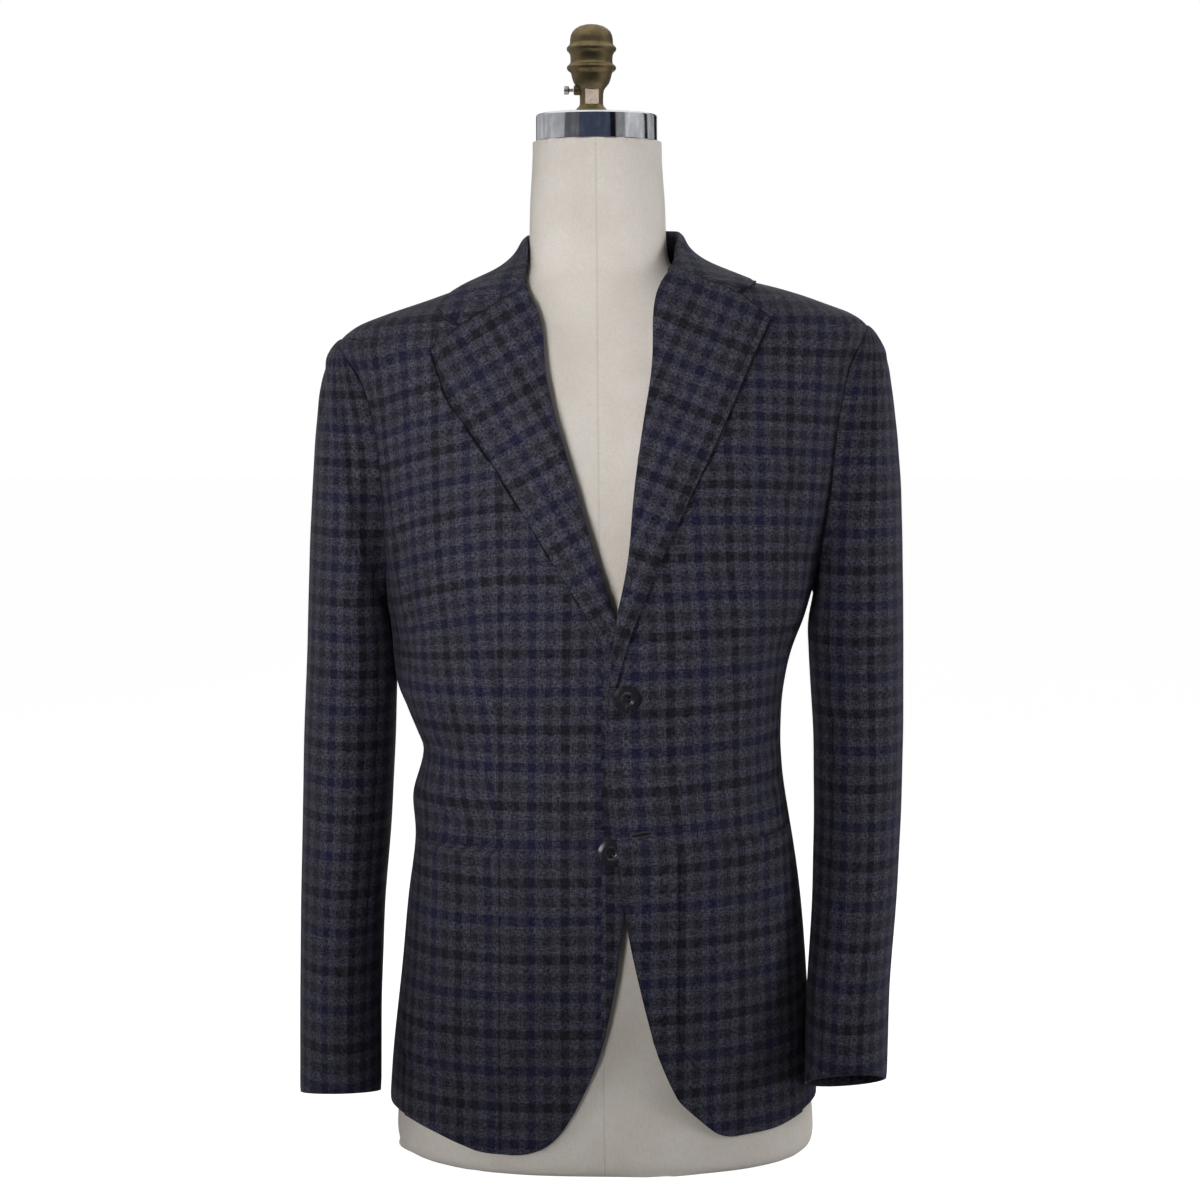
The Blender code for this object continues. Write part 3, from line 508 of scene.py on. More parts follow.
@dataclass(frozen=True)
class Flannel:
    """Brushed wool woven in an even check of soft dark bands, each second one navy."""

    light: tuple = (0.0470, 0.0456, 0.0635)
    charcoal: tuple = (0.0060, 0.0056, 0.0078)
    navy: tuple = (0.0075, 0.0072, 0.0270)
    weak_depth: float = 0.62
    band_share: float = 0.25
    band_softness: float = 0.075
    band_wander: float = 0.0026
    weft_depth: float = 0.58
    warp_depth: float = 0.50
    mottle_depth: float = 0.80
    deepest: float = 0.92
    painted_edge_shade_depth: float = 0.88
    twill_step: float = 0.0013

    def band(self, run: Number) -> tuple[Number, Number]:
        """How dark the yarns of one direction are, and how blue.

        Args:
            run: the place across the bands, in whole repeats.

        Returns:
            The darkness from 0 to 1 and the share of navy.
        """
        cell = abs((run * 4 + 0.5).fraction() - 0.5)
        band = cell.ramp(self.band_share + self.band_softness, self.band_share - self.band_softness)
        strong = abs((run + 0.5).fraction() - 0.5).ramp(0.14, 0.11)
        blue = abs(run.fraction() - 0.5).ramp(0.14, 0.11)
        return band * strong.highest(blue * 0.9).highest(self.weak_depth), blue

    def material(self) -> bpy.types.Material:
        """Makes the wool's material."""
        shader = Shader("wool_flannel_check")
        cloth = shader.weave(WEAVE_MAP)
        across, along, _ = shader.split(cloth)
        fuzz = shader.noise(cloth, 900, 2.0)
        weft_fuzz = shader.noise(shader.stretch(cloth, (1.3, 0.8, 1)), 850, 2.0)
        wandered_across = across + (fuzz - 0.5) * self.band_wander
        wandered_along = along + (weft_fuzz - 0.5) * self.band_wander
        warp, warp_blue = self.band(wandered_across / (WARP_PERIOD * MM))
        weft, weft_blue = self.band(wandered_along / (WEFT_PERIOD * MM))
        fibres_up = shader.noise(shader.stretch(cloth, (1.0, 0.38, 1)), 760, 3.0, 0.7)
        fibres_across = shader.noise(shader.stretch(cloth, (0.38, 1.0, 1)), 720, 3.0, 0.7)
        mottle = shader.noise(cloth, 260, 3.0, 0.65)
        dark = weft * self.weft_depth + warp * self.warp_depth + (mottle - 0.5) * self.mottle_depth
        blue = (warp * warp_blue + weft * weft_blue) / (warp + weft + 0.001)
        band_colour = shader.mix(blue, self.charcoal, self.navy)
        colour = shader.mix(dark.highest(0.0).lowest(self.deepest), self.light, band_colour)
        melange = (fibres_up + fibres_across) * 0.5
        clouds = shader.noise(cloth, 38, 3.0)
        flecks = shader.noise(cloth, 620, 1.0).ramp(0.62, 0.74)
        cloudy = clouds.ramp(0.25, 0.75, 0.86, 1.14)
        lift = melange.ramp(0.38, 0.62, 0.25, 1.75) * cloudy + flecks * 0.7
        # Painted shade: the colour darkens where the edge number marks rims and narrow wall sides.
        edge = shader.attribute(EDGE).lowest(1.0)
        shader.set(Base_Color=shader.shade(colour, lift * (1 - edge**2 * self.painted_edge_shade_depth)))
        twill = ((across + along) * (2 * math.pi / self.twill_step)).sine() * 0.5 + 0.5
        nap = melange * 0.5 + shader.noise(cloth, 1900, 2.0, 0.6) * 0.35 + twill * 0.15
        shader.set(Normal=shader.bump(nap, 0.0004, 0.6))
        shader.set(Roughness=clouds.ramp(0.2, 0.8, 0.62, 0.78))
        shader.set(Specular_IOR_Level=0.14, Sheen_Weight=0.03)
        shader.set(Sheen_Roughness=0.45, Sheen_Tint=(0.85, 0.86, 1.0))
        return shader.material


@dataclass(frozen=True)
class Horn:
    """Polished dark horn with a few paler streaks."""

    dark: tuple = (0.012, 0.0115, 0.014)
    streak: tuple = (0.040, 0.039, 0.050)

    def material(self) -> bpy.types.Material:
        """Makes the horn's material."""
        shader = Shader("dark_horn")
        place = shader.place()
        grain = shader.noise(shader.stretch(place, (1, 0.6, 0.25)), 420, 4.0, 0.6)
        shader.set(Base_Color=shader.mix(grain.ramp(0.5, 0.78), self.dark, self.streak))
        shader.set(Roughness=grain.ramp(0.3, 0.8, 0.16, 0.30))
        shader.set(Coat_Weight=0.35, Coat_Roughness=0.08, IOR=1.54)
        return shader.material


@dataclass(frozen=True)
class Thread:
    """Sewing silk, or another plain matt finish of one colour."""

    name: str
    colour: tuple

    def material(self) -> bpy.types.Material:
        """Makes the thread's material."""
        shader = Shader(self.name)
        place = shader.place()
        twist = shader.noise(place, 2600, 2.0)
        base = shader.add("ShaderNodeRGB", {}, {})
        base.outputs[0].default_value = (*self.colour, 1)
        shader.set(Base_Color=shader.shade(base.outputs[0], twist.ramp(0.3, 0.7, 0.7, 1.3)))
        shader.set(Roughness=0.6, Specular_IOR_Level=0.25, Sheen_Weight=0.03)
        shader.set(Normal=shader.bump(twist, 0.0002, 0.5))
        return shader.material


@dataclass(frozen=True)
class Canvas:
    """Cream cotton canvas pasted tight over the form, warmer in random clouds, with a faint seam line."""

    pale: tuple = (0.775, 0.725, 0.665)
    warm: tuple = (0.715, 0.655, 0.590)

    def material(self) -> bpy.types.Material:
        """Makes the canvas's material."""
        shader = Shader("cream_canvas")
        place = shader.place()
        across, _, up = shader.split(place)
        around = shader.noise(shader.stretch(place, (1.0, 1.0, 0.12)), 1500, 2.0)
        upward = shader.noise(shader.stretch(place, (0.3, 0.3, 1.0)), 1300, 2.0)
        clouds = shader.noise(place, 14, 4.0, 0.6)
        weave = (around + upward) * 0.5
        colour = shader.mix(clouds.ramp(0.35, 0.72), self.pale, self.warm)
        seam = abs(across + 0.0052 + (up - 0.842) * 0.0086)
        line = seam.ramp(0.0011, 0.0004)
        lift = weave.ramp(0.3, 0.7, 0.93, 1.05) * (1 - line * 0.10)
        shader.set(Base_Color=shader.shade(colour, lift))
        relief = weave * 0.5 + line * -0.5 + 0.5
        shader.set(Normal=shader.bump(relief, 0.0006, 0.5), Roughness=clouds.ramp(0.3, 0.7, 0.72, 0.86))
        shader.set(Specular_IOR_Level=0.3, Sheen_Weight=0.08)
        return shader.material


@dataclass(frozen=True)
class Metal:
    """A polished or aged metal with tarnish in patches and fine scratches."""

    name: str
    bright: tuple
    dull: tuple
    polish: float
    worn: float
    patches: float = 70.0
    scratches: float = 0.00006

    def material(self) -> bpy.types.Material:
        """Makes the metal's material."""
        shader = Shader(self.name)
        place = shader.place()
        patch = shader.noise(place, self.patches, 5.0, 0.62)
        fine = shader.noise(shader.stretch(place, (1.0, 1.0, 6.0)), 900, 2.0)
        share = patch.ramp(0.42, 0.66)
        shader.set(Base_Color=shader.mix(share, self.bright, self.dull), Metallic=1.0)
        shader.set(Roughness=share * (self.worn - self.polish) + self.polish + (fine - 0.5) * 0.05)
        shader.set(Normal=shader.bump(fine, self.scratches, 0.4))
        return shader.material


@dataclass(frozen=True)
class Finishes:
    """The materials that the pieces share."""

    wool: bpy.types.Material
    horn: bpy.types.Material
    dark_thread: bpy.types.Material
    thread: bpy.types.Material
    slit: bpy.types.Material
    canvas: bpy.types.Material
    chrome: bpy.types.Material
    brass: bpy.types.Material
    nickel: bpy.types.Material
    plate: bpy.types.Material

    @classmethod
    def mixed(cls) -> "Finishes":
        """Makes every material."""
        return cls(
            wool=Flannel().material(),
            horn=Horn().material(),
            dark_thread=Thread("dark_silk", (0.012, 0.011, 0.016)).material(),
            thread=Thread("buttonhole_silk", (0.038, 0.036, 0.046)).material(),
            # near-black, painted shade for the buttonholes' openings
            slit=Thread("slit", (0.004, 0.004, 0.005)).material(),
            canvas=Canvas().material(),
            chrome=Metal(
                "chrome", (0.80, 0.81, 0.83), (0.66, 0.68, 0.70), 0.04, 0.13, 40.0, 0.00002
            ).material(),
            brass=Metal(
                "aged_brass", (0.215, 0.165, 0.082), (0.150, 0.118, 0.066), 0.40, 0.52, 90.0
            ).material(),
            nickel=Metal("worn_nickel", (0.62, 0.58, 0.53), (0.36, 0.31, 0.25), 0.2, 0.4).material(),
            plate=Thread("bare_plate", (0.60, 0.49, 0.40)).material(),
        )


# ---- the worn shape, by which the cloth is measured ----------------------------------------


class WornBody:
    """The body of the jacket as a stack of squarish ovals, to measure round and outwards."""

    lean = 0.026
    fullness = 2.35
    sections = Table(
        ("right", "left", "front", "back"),
        [
            (10, 179.5, 182, 128, 120), (105, 174, 175, 134, 123), (165, 167.5, 171, 137, 122),
            (222, 162.5, 165.5, 137, 117), (261, 157.5, 159.5, 135, 111), (292, 160, 154.5, 133, 105),
            (332, 151, 151, 132, 99), (358, 160, 151.5, 134, 98), (387, 170, 155, 136, 99),
            (434, 173, 170, 139, 104), (460, 178, 178, 140, 108), (500, 186, 189, 140, 115),
            (540, 192, 200, 137, 120), (580, 198.5, 207, 131, 122), (620, 206, 214, 121, 121),
            (650, 216, 220, 108, 117), (672, 225.5, 226.5, 95, 112), (686, 216, 220.5, 89, 109),
            (697, 194, 199, 85, 105), (707, 163.5, 173, 80.5, 101), (717, 132.5, 141, 75.5, 96),
            (727, 102, 106, 70, 91), (743, 73.5, 75, 63, 84), (775, 63.5, 65, 57, 75),
        ],
    )

    def __init__(self) -> None:
        """Works out how long each oval is from the centre front to each turn."""
        self.heights = np.linspace(5, 775, 78)
        self.turns = np.linspace(0, math.pi, 121)
        self.lengths = {side: np.array([self._run(side, h) for h in self.heights]) for side in Side}

    def _oval(self, side: Side, height: float) -> tuple[Array, Array]:
        """The x without sign and the y of half an oval, from the centre front to the back."""
        half = self.sections.at(side.value, height)
        front, back = self.sections.at("front", height), self.sections.at("back", height)
        ridge = self.ridge(height)
        wide = np.abs(np.sin(self.turns)) ** (2 / self.fullness)
        deep = np.abs(np.cos(self.turns)) ** (2 / self.fullness)
        ahead = self.turns < math.pi / 2
        return half * wide, np.where(ahead, ridge - (front + ridge) * deep, ridge + (back - ridge) * deep)

    def _run(self, side: Side, height: float) -> Array:
        """Length along half an oval at each turn."""
        x, y = self._oval(side, height)
        return np.concatenate([[0.0], np.cumsum(np.hypot(np.diff(x), np.diff(y)))])

    @staticmethod
    def ridge(height: Array | float) -> Array:
        """How far back the shoulder's ridge lies at a height."""
        return 8.0 * ease(height, 560, 676)

    def upright(self, points: Array) -> Array:
        """The points with the jacket's lean taken out."""
        straight = points.copy()
        straight[:, 2] -= self.lean * points[:, 0]
        return straight

    def _shares(self, points: Array) -> tuple[Array, Array]:
        """How far each point is across and through its oval, as shares of the oval's half sizes."""
        x, y, z = points.T
        ridge = self.ridge(z)
        half = np.where(x < 0, self.sections.at("right", z), self.sections.at("left", z))
        ahead, behind = self.sections.at("front", z) + ridge, self.sections.at("back", z) - ridge
        return np.abs(x) / half, np.abs(y - ridge) / np.where(y < ridge, ahead, behind)

    def _swell(self, points: Array) -> Array:
        """How far out each point is as a share of its oval, 1 on the surface."""
        return sum(share**self.fullness for share in self._shares(points))

    def outward(self, points: Array) -> Array:
        """Unit directions out of the worn surface at points near it."""
        step = 3.0
        straight = self.upright(points)
        slope = np.empty_like(straight)
        for axis in range(3):
            shift = np.zeros(3)
            shift[axis] = step
            slope[:, axis] = self._swell(straight + shift) - self._swell(straight - shift)
        return slope / np.linalg.norm(slope, axis=1, keepdims=True)

    def around(self, points: Array) -> tuple[Array, Array]:
        """Distance round the body from the centre front, with the side's sign, and the height."""
        straight = self.upright(points)
        x, y, z = straight.T
        wide, deep = (share ** (self.fullness / 2) for share in self._shares(straight))
        turn = np.arctan2(wide, deep * np.where(y < self.ridge(z), 1, -1))
        row = np.clip(np.interp(z, self.heights, np.arange(len(self.heights))), 0, len(self.heights) - 1.001)
        column = np.clip(turn / math.pi * (len(self.turns) - 1), 0, len(self.turns) - 1.001)
        runs = np.where(x < 0, self._read(Side.RIGHT, row, column), self._read(Side.LEFT, row, column))
        return np.where(x < 0, -runs, runs), z

    def _read(self, side: Side, row: Array, column: Array) -> Array:
        """The length table of one side, read between its rows and columns."""
        table = self.lengths[side]
        i, j = row.astype(int), column.astype(int)
        up, over = row - i, column - j
        low = table[i, j] * (1 - over) + table[i, j + 1] * over
        high = table[i + 1, j] * (1 - over) + table[i + 1, j + 1] * over
        return low * (1 - up) + high * up

    def half_girth(self, side: Side, height: Array) -> Array:
        """Distance from the centre front to the centre back at a height."""
        return np.interp(height, self.heights, self.lengths[side][:, -1])


WORN = WornBody()


# ---- where the check's bands run -------------------------------------------------------------

# Heights of the check's strong bands on each front, from the lowest one up.
STRONG_BANDS = {
    Side.RIGHT: (59.4, 119.0, 179.6, 240.7, 301.1, 362.4, 424.1, 483.6, 541.1, 594.5, 647, 698, 748),
    Side.LEFT: (68.0, 129.0, 189.6, 250.0, 311.6, 374.0, 435.9, 498.2, 556.0, 611.0, 663, 713, 762),
}
# Distances round from the centre front of two neighbouring strong bands on each front; the
# outer one is taken in by the dart.
RIGHT_STRIPES = Table(
    ("near", "far", "outer"),
    [
        (60, 29.6, 85.0, 118.5), (180, 29.6, 85.0, 120.0), (255, 29.6, 85.4, 121.0),
        (262, 29.6, 85.2, 121.0), (268, 29.6, 84.8, 111.5), (287, 29.6, 84.4, 111.5),
        (319, 29.6, 84.3, 122.5), (360, 29.6, 84.2, 123.5), (385, 29.0, 84.0, 127.4),
        (418, 28.4, 83.6, 132.2), (483, 27.5, 83.3, 137.0), (545, 27.5, 83.2, 138.6),
        (760, 27.5, 83.2, 138.7),
    ],
)
LEFT_STRIPES = Table(
    ("near", "far"),
    [
        (60, 61.8, 114.8), (218, 61.8, 116.0), (256, 61.2, 116.0), (320, 54.8, 115.5),
        (379, 53.4, 115.4), (437, 52.3, 110.6), (494, 49.5, 104.6), (542, 46.4, 101.9),
        (760, 46.4, 101.9),
    ],
)
DART_X = -83.6  # the front dart's line on the wearer's right


def counted(bands: Sequence[float], height: Array) -> Array:
    """Which band each height is at, as a running number with whole numbers on the bands."""
    numbers = np.arange(len(bands), dtype=float)
    inside = np.interp(height, bands, numbers)
    below = (height - bands[0]) / (bands[1] - bands[0])
    above = numbers[-1] + (height - bands[-1]) / (bands[-1] - bands[-2])
    return np.where(height < bands[0], below, np.where(height > bands[-1], above, inside))


def droop(along: Array, height: Array) -> Array:
    """How far the weft hangs below level towards each armhole."""
    window = ease(height, 395, 455) * (1 - 0.75 * ease(height, 620, 700))
    reach = np.clip((np.abs(along) - 80) / 95, 0, 1.25) ** 1.4
    return window * reach * np.where(along < 0, 16.0, 6.0)


def weft_count(along: Array, height: Array) -> Array:
    """The running number of the check's weft bands at places on the fronts and sides."""
    level = height + droop(along, height)
    right = counted(STRONG_BANDS[Side.RIGHT], level)
    left = counted(STRONG_BANDS[Side.LEFT], level)
    return np.where(along < 0, right, left)


class Weave:
    """Lays the cloth's map on a piece: metres across and along the grain."""

    @staticmethod
    def write(piece: bpy.types.Object, lay: Lay) -> None:
        """Gives a piece its map.

        Args:
            piece: the cloth piece.
            lay: takes the corners' points and their faces' middles in millimetres, and
                returns how many repeats across and along each corner is.
        """
        mesh = piece.data
        points = points_of(piece)
        corners = np.empty(len(mesh.loops), int)
        mesh.loops.foreach_get("vertex_index", corners)
        totals = np.empty(len(mesh.polygons), int)
        mesh.polygons.foreach_get("loop_total", totals)
        middles = np.repeat(rows_of(mesh.polygons, "center") / MM, totals, axis=0)
        across, along = lay(points[corners], middles)
        layer = mesh.uv_layers.new(name=WEAVE_MAP)
        placed = np.stack([across * WARP_PERIOD * MM, along * WEFT_PERIOD * MM], axis=1)
        layer.uv.foreach_set("vector", placed.astype(np.float32).ravel())

    @staticmethod
    def front(points: Array, middles: Array) -> tuple[Array, Array]:
        """The map of the fronts, sides, pockets and welt."""
        along, height = WORN.around(points)
        reach = np.abs(along)
        near, far, outer = (RIGHT_STRIPES.at(name, height) for name in ("near", "far", "outer"))
        plain = (reach - near) / (far - near)
        darted = 2 + (reach - outer) / WARP_PERIOD
        right = np.where(middles[:, 0] < DART_X, darted, plain)
        first, second = LEFT_STRIPES.at("near", height), LEFT_STRIPES.at("far", height)
        left = np.where(
            reach > second,
            1 + (reach - second) / WARP_PERIOD,
            np.where(reach < first, (reach - first) / WARP_PERIOD, (reach - first) / (second - first)),
        )
        side_of = middles[:, 0] < 0
        return np.where(side_of, right, left), weft_count(np.where(side_of, -reach, reach), height)

    @staticmethod
    def back(points: Array, middles: Array) -> tuple[Array, Array]:
        """The map of the backs: even on both sides of the centre seam, and level there."""
        along, height = WORN.around(points)
        is_right = middles[:, 0] < 0
        girth = np.where(is_right, WORN.half_girth(Side.RIGHT, height), WORN.half_girth(Side.LEFT, height))
        inward = girth - np.abs(along)
        sides = weft_count(np.where(is_right, -200.0, 200.0), height)
        level = (counted(STRONG_BANDS[Side.RIGHT], height) + counted(STRONG_BANDS[Side.LEFT], height)) / 2
        blend = np.clip(inward / 190, 0, 1) ** 2
        across = np.where(is_right, -1, 1) * (inward / WARP_PERIOD + 0.25)
        return across, level + (sides - level) * blend


def beside(places: Array, path: Array) -> tuple[Array, Array, Array, Array]:
    """Where places lie beside a path of straight stretches.

    Args:
        places: one row for each place.
        path: one row for each corner of the path.

    Returns:
        The distance to the path, the run along it, the step away from it and its direction there.
    """
    distance, run = np.full(len(places), np.inf), np.zeros(len(places))
    away, ahead = np.zeros(places.shape), np.zeros(places.shape)
    gone = 0.0
    for start, end in zip(path, path[1:]):
        length = np.linalg.norm(end - start)
        way = (end - start) / length
        share = np.clip((places - start) @ way, 0, length)
        step = places - start - share[:, None] * way
        gap = np.linalg.norm(step, axis=1)
        nearer = gap < distance
        distance = np.where(nearer, gap, distance)
        run = np.where(nearer, gone + share, run)
        away = np.where(nearer[:, None], step, away)
        ahead = np.where(nearer[:, None], way, ahead)
        gone += length
    return distance, run, away, ahead


@dataclass(frozen=True)
class TurnedCloth:
    """A cloth laid flat at an angle on the front, as on a lapel.

    Attributes:
        corner: a point of the front view, x and height, where a strong warp and weft cross.
        lean: degrees that the warp leans from upright, towards the wearer's right.
    """

    corner: Place
    lean: float

    def lay(self, points: Array, middles: Array) -> tuple[Array, Array]:
        """The map for corners' points; the faces' middles aren't needed."""
        straight = WORN.upright(points)
        x, z = straight[:, 0] - self.corner[0], straight[:, 2] - self.corner[1]
        turn = math.radians(self.lean)
        across = x * math.cos(turn) + z * math.sin(turn)
        along = -x * math.sin(turn) + z * math.cos(turn)
        return across / WARP_PERIOD, along / WEFT_PERIOD


@dataclass(frozen=True)
class CollarCloth:
    """The collar's cloth, laid along its length from the centre back."""

    spine: tuple = (
        (0.0, 96.0, 748.0), (52.0, 76.0, 748.0), (80.0, 32.0, 746.0), (88.0, -14.0, 737.0),
        (97.0, -62.0, 706.0), (103.0, -95.0, 676.0),
    )

    def lay(self, points: Array, middles: Array) -> tuple[Array, Array]:
        """The map for corners' points, by the nearest place on the collar's spine."""
        straight = WORN.upright(points)
        mirrored = np.abs(straight) * (1, 0, 0) + straight * (0, 1, 1)
        distance, run, away, _ = beside(mirrored, np.array(self.spine))
        side_step = np.sign(away[:, 2]) * distance
        signed = np.where(middles[:, 0] < 0, -run, run)
        return (signed + 12.0) / WARP_PERIOD, (side_step + 9.0) / WEFT_PERIOD


# ---- creases -----------------------------------------------------------------------------------


@dataclass(frozen=True)
class Crease:
    """A soft trough in the cloth, with a lip beside it.

    Attributes:
        path: places that it runs through, in the plane in which its piece is measured.
        width: half width of the trough, in millimetres.
        depth: how deep it is; less than nothing makes a ridge.
        lip: height of the lip as a share of the depth.
        lip_side: 1 or -1, for the side of the path that the lip is on.
    """

    path: tuple[Place, ...]
    width: float
    depth: float
    lip: float = 0.35
    lip_side: int = 1

    def rise(self, across: Array, along: Array) -> Array:
        """How far the crease moves each place outwards, in millimetres."""
        path = np.array(self.path, float)
        distance, run, away, ahead = beside(np.stack([across, along], axis=1), path)
        sided = np.sign(away[:, 0] * ahead[:, 1] - away[:, 1] * ahead[:, 0]) * distance
        total = np.linalg.norm(np.diff(path, axis=0), axis=1).sum()
        fade = np.sin(np.clip(run / total, 0, 1) * math.pi) ** 0.8
        trough = -np.exp(-((distance / self.width) ** 2))
        from_lip = (sided * self.lip_side - 1.8 * self.width) / (1.1 * self.width)
        lip = self.lip * np.exp(-(from_lip**2))
        return self.depth * fade * (trough + lip)


# Creases of the fronts, as distance round from the centre front and height.
FRONT_CREASES = (
    Crease(((-204, 548), (-196, 522), (-186, 497), (-178, 470), (-170, 436)), 5.0, 2.6),
    Crease(((-196, 455), (-178, 446), (-158, 436)), 5.0, 2.2),
    Crease(((-200, 436), (-182, 432), (-160, 428)), 4.0, 1.6),
    Crease(((-205, 420), (-186, 420), (-166, 421)), 4.5, 1.8, lip_side=-1),
    Crease(((-206, 402), (-188, 407), (-170, 414)), 4.0, 1.4),
    Crease(((-172, 560), (-176, 520), (-182, 480)), 9.0, 2.4),
    Crease(((-250, 492), (-250, 430), (-248, 372)), 30.0, -5.5, 0.0),
    Crease(((-160, 330), (-140, 318), (-118, 310)), 9.0, 2.4),
    Crease(((-182, 345), (-160, 340), (-130, 343)), 8.0, 2.0, lip_side=-1),
    Crease(((-178, 300), (-150, 288), (-112, 284)), 8.0, 2.2),
    Crease(((-20, 378), (-48, 366), (-84, 360)), 8.0, 1.4),
    Crease(((-12, 360), (-34, 338), (-62, 322)), 9.0, 1.2, lip_side=-1),
    Crease(((28, 372), (52, 366), (92, 370)), 8.0, 1.2),
    Crease(((26, 398), (56, 404), (98, 412)), 9.0, 1.1, lip_side=-1),
    Crease(((158, 560), (166, 520), (178, 478)), 10.0, 2.6),
    Crease(((206, 440), (186, 430), (160, 424)), 6.0, 1.8),
    Crease(((204, 418), (184, 414), (158, 416)), 5.0, 1.4, lip_side=-1),
    Crease(((188, 345), (166, 336), (132, 334)), 8.0, 1.8),
    Crease(((186, 310), (164, 300), (136, 296)), 8.0, 1.6, lip_side=-1),
    Crease(((-98, 250), (-96, 170), (-100, 90)), 22.0, 1.6, 0.2),
    Crease(((132, 240), (136, 160), (142, 80)), 24.0, 1.8, 0.2),
)
# Troughs of the fronts beside the lapels' outer edges, pressed in by their roll.
LAPEL_TROUGHS = (
    Crease(((-2, 424), (-21, 463), (-45, 502), (-73, 548), (-103, 596), (-128, 630)), 3.0, 1.1, 0.2),
    Crease(((4, 372), (15, 398), (25, 434), (35, 461), (53, 503), (73, 546), (96, 590)), 4.5, 2.6, 0.2, -1),
)
# Creases of the backs, as distance inwards from the centre back seam, wearer's right negative.
BACK_CREASES = (
    Crease(((-150, 470), (-96, 420), (-40, 395)), 12.0, 2.6),
    Crease(((152, 462), (100, 414), (46, 380)), 12.0, 2.8, lip_side=-1),
    Crease(((-140, 372), (-84, 352), (-22, 356)), 9.0, 2.4),
    Crease(((138, 360), (88, 345), (18, 340)), 9.0, 2.2),
    Crease(((-118, 332), (-66, 322), (-14, 330)), 8.0, 1.6, lip_side=-1),
    Crease(((122, 322), (74, 312), (20, 318)), 8.0, 1.8, lip_side=-1),
    Crease(((-118, 640), (-128, 560), (-142, 490)), 13.0, 3.0),
    Crease(((116, 632), (128, 556), (140, 486)), 13.0, 2.8),
    Crease(((-60, 250), (-66, 160), (-72, 50)), 26.0, 2.2, 0.3),
    Crease(((70, 240), (74, 150), (82, 50)), 28.0, 2.4, 0.3),
)


def body_rise(points: Array, centre_back: bool = False) -> Array:
    """How far the jacket's body stands out for its creases at points near it.

    Args:
        points: points in millimetres.
        centre_back: measures from the centre back and not from the centre front.

    Returns:
        The distance outwards of each point.
    """
    along, height = WORN.around(points)
    creases = FRONT_CREASES
    if centre_back:
        right, left = WORN.half_girth(Side.RIGHT, height), WORN.half_girth(Side.LEFT, height)
        along = np.where(points[:, 0] < 0, -(right + along), left - along)
        creases = BACK_CREASES
    rise = np.zeros(len(points))
    for crease in creases:
        rise += crease.rise(along, height)
    return rise


# ---- cloth pieces ------------------------------------------------------------------------------


@dataclass(frozen=True)
class Cut:
    """The flat cut of a cloth piece.

    Attributes:
        node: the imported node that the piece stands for.
        wide: flat width in metres.
        long: flat length in metres.
        area: flat area in square metres.
        rests_on: what the piece lies on.
    """

    node: str
    wide: float
    long: float
    area: float
    rests_on: tuple[str, ...] = ("form_body",)


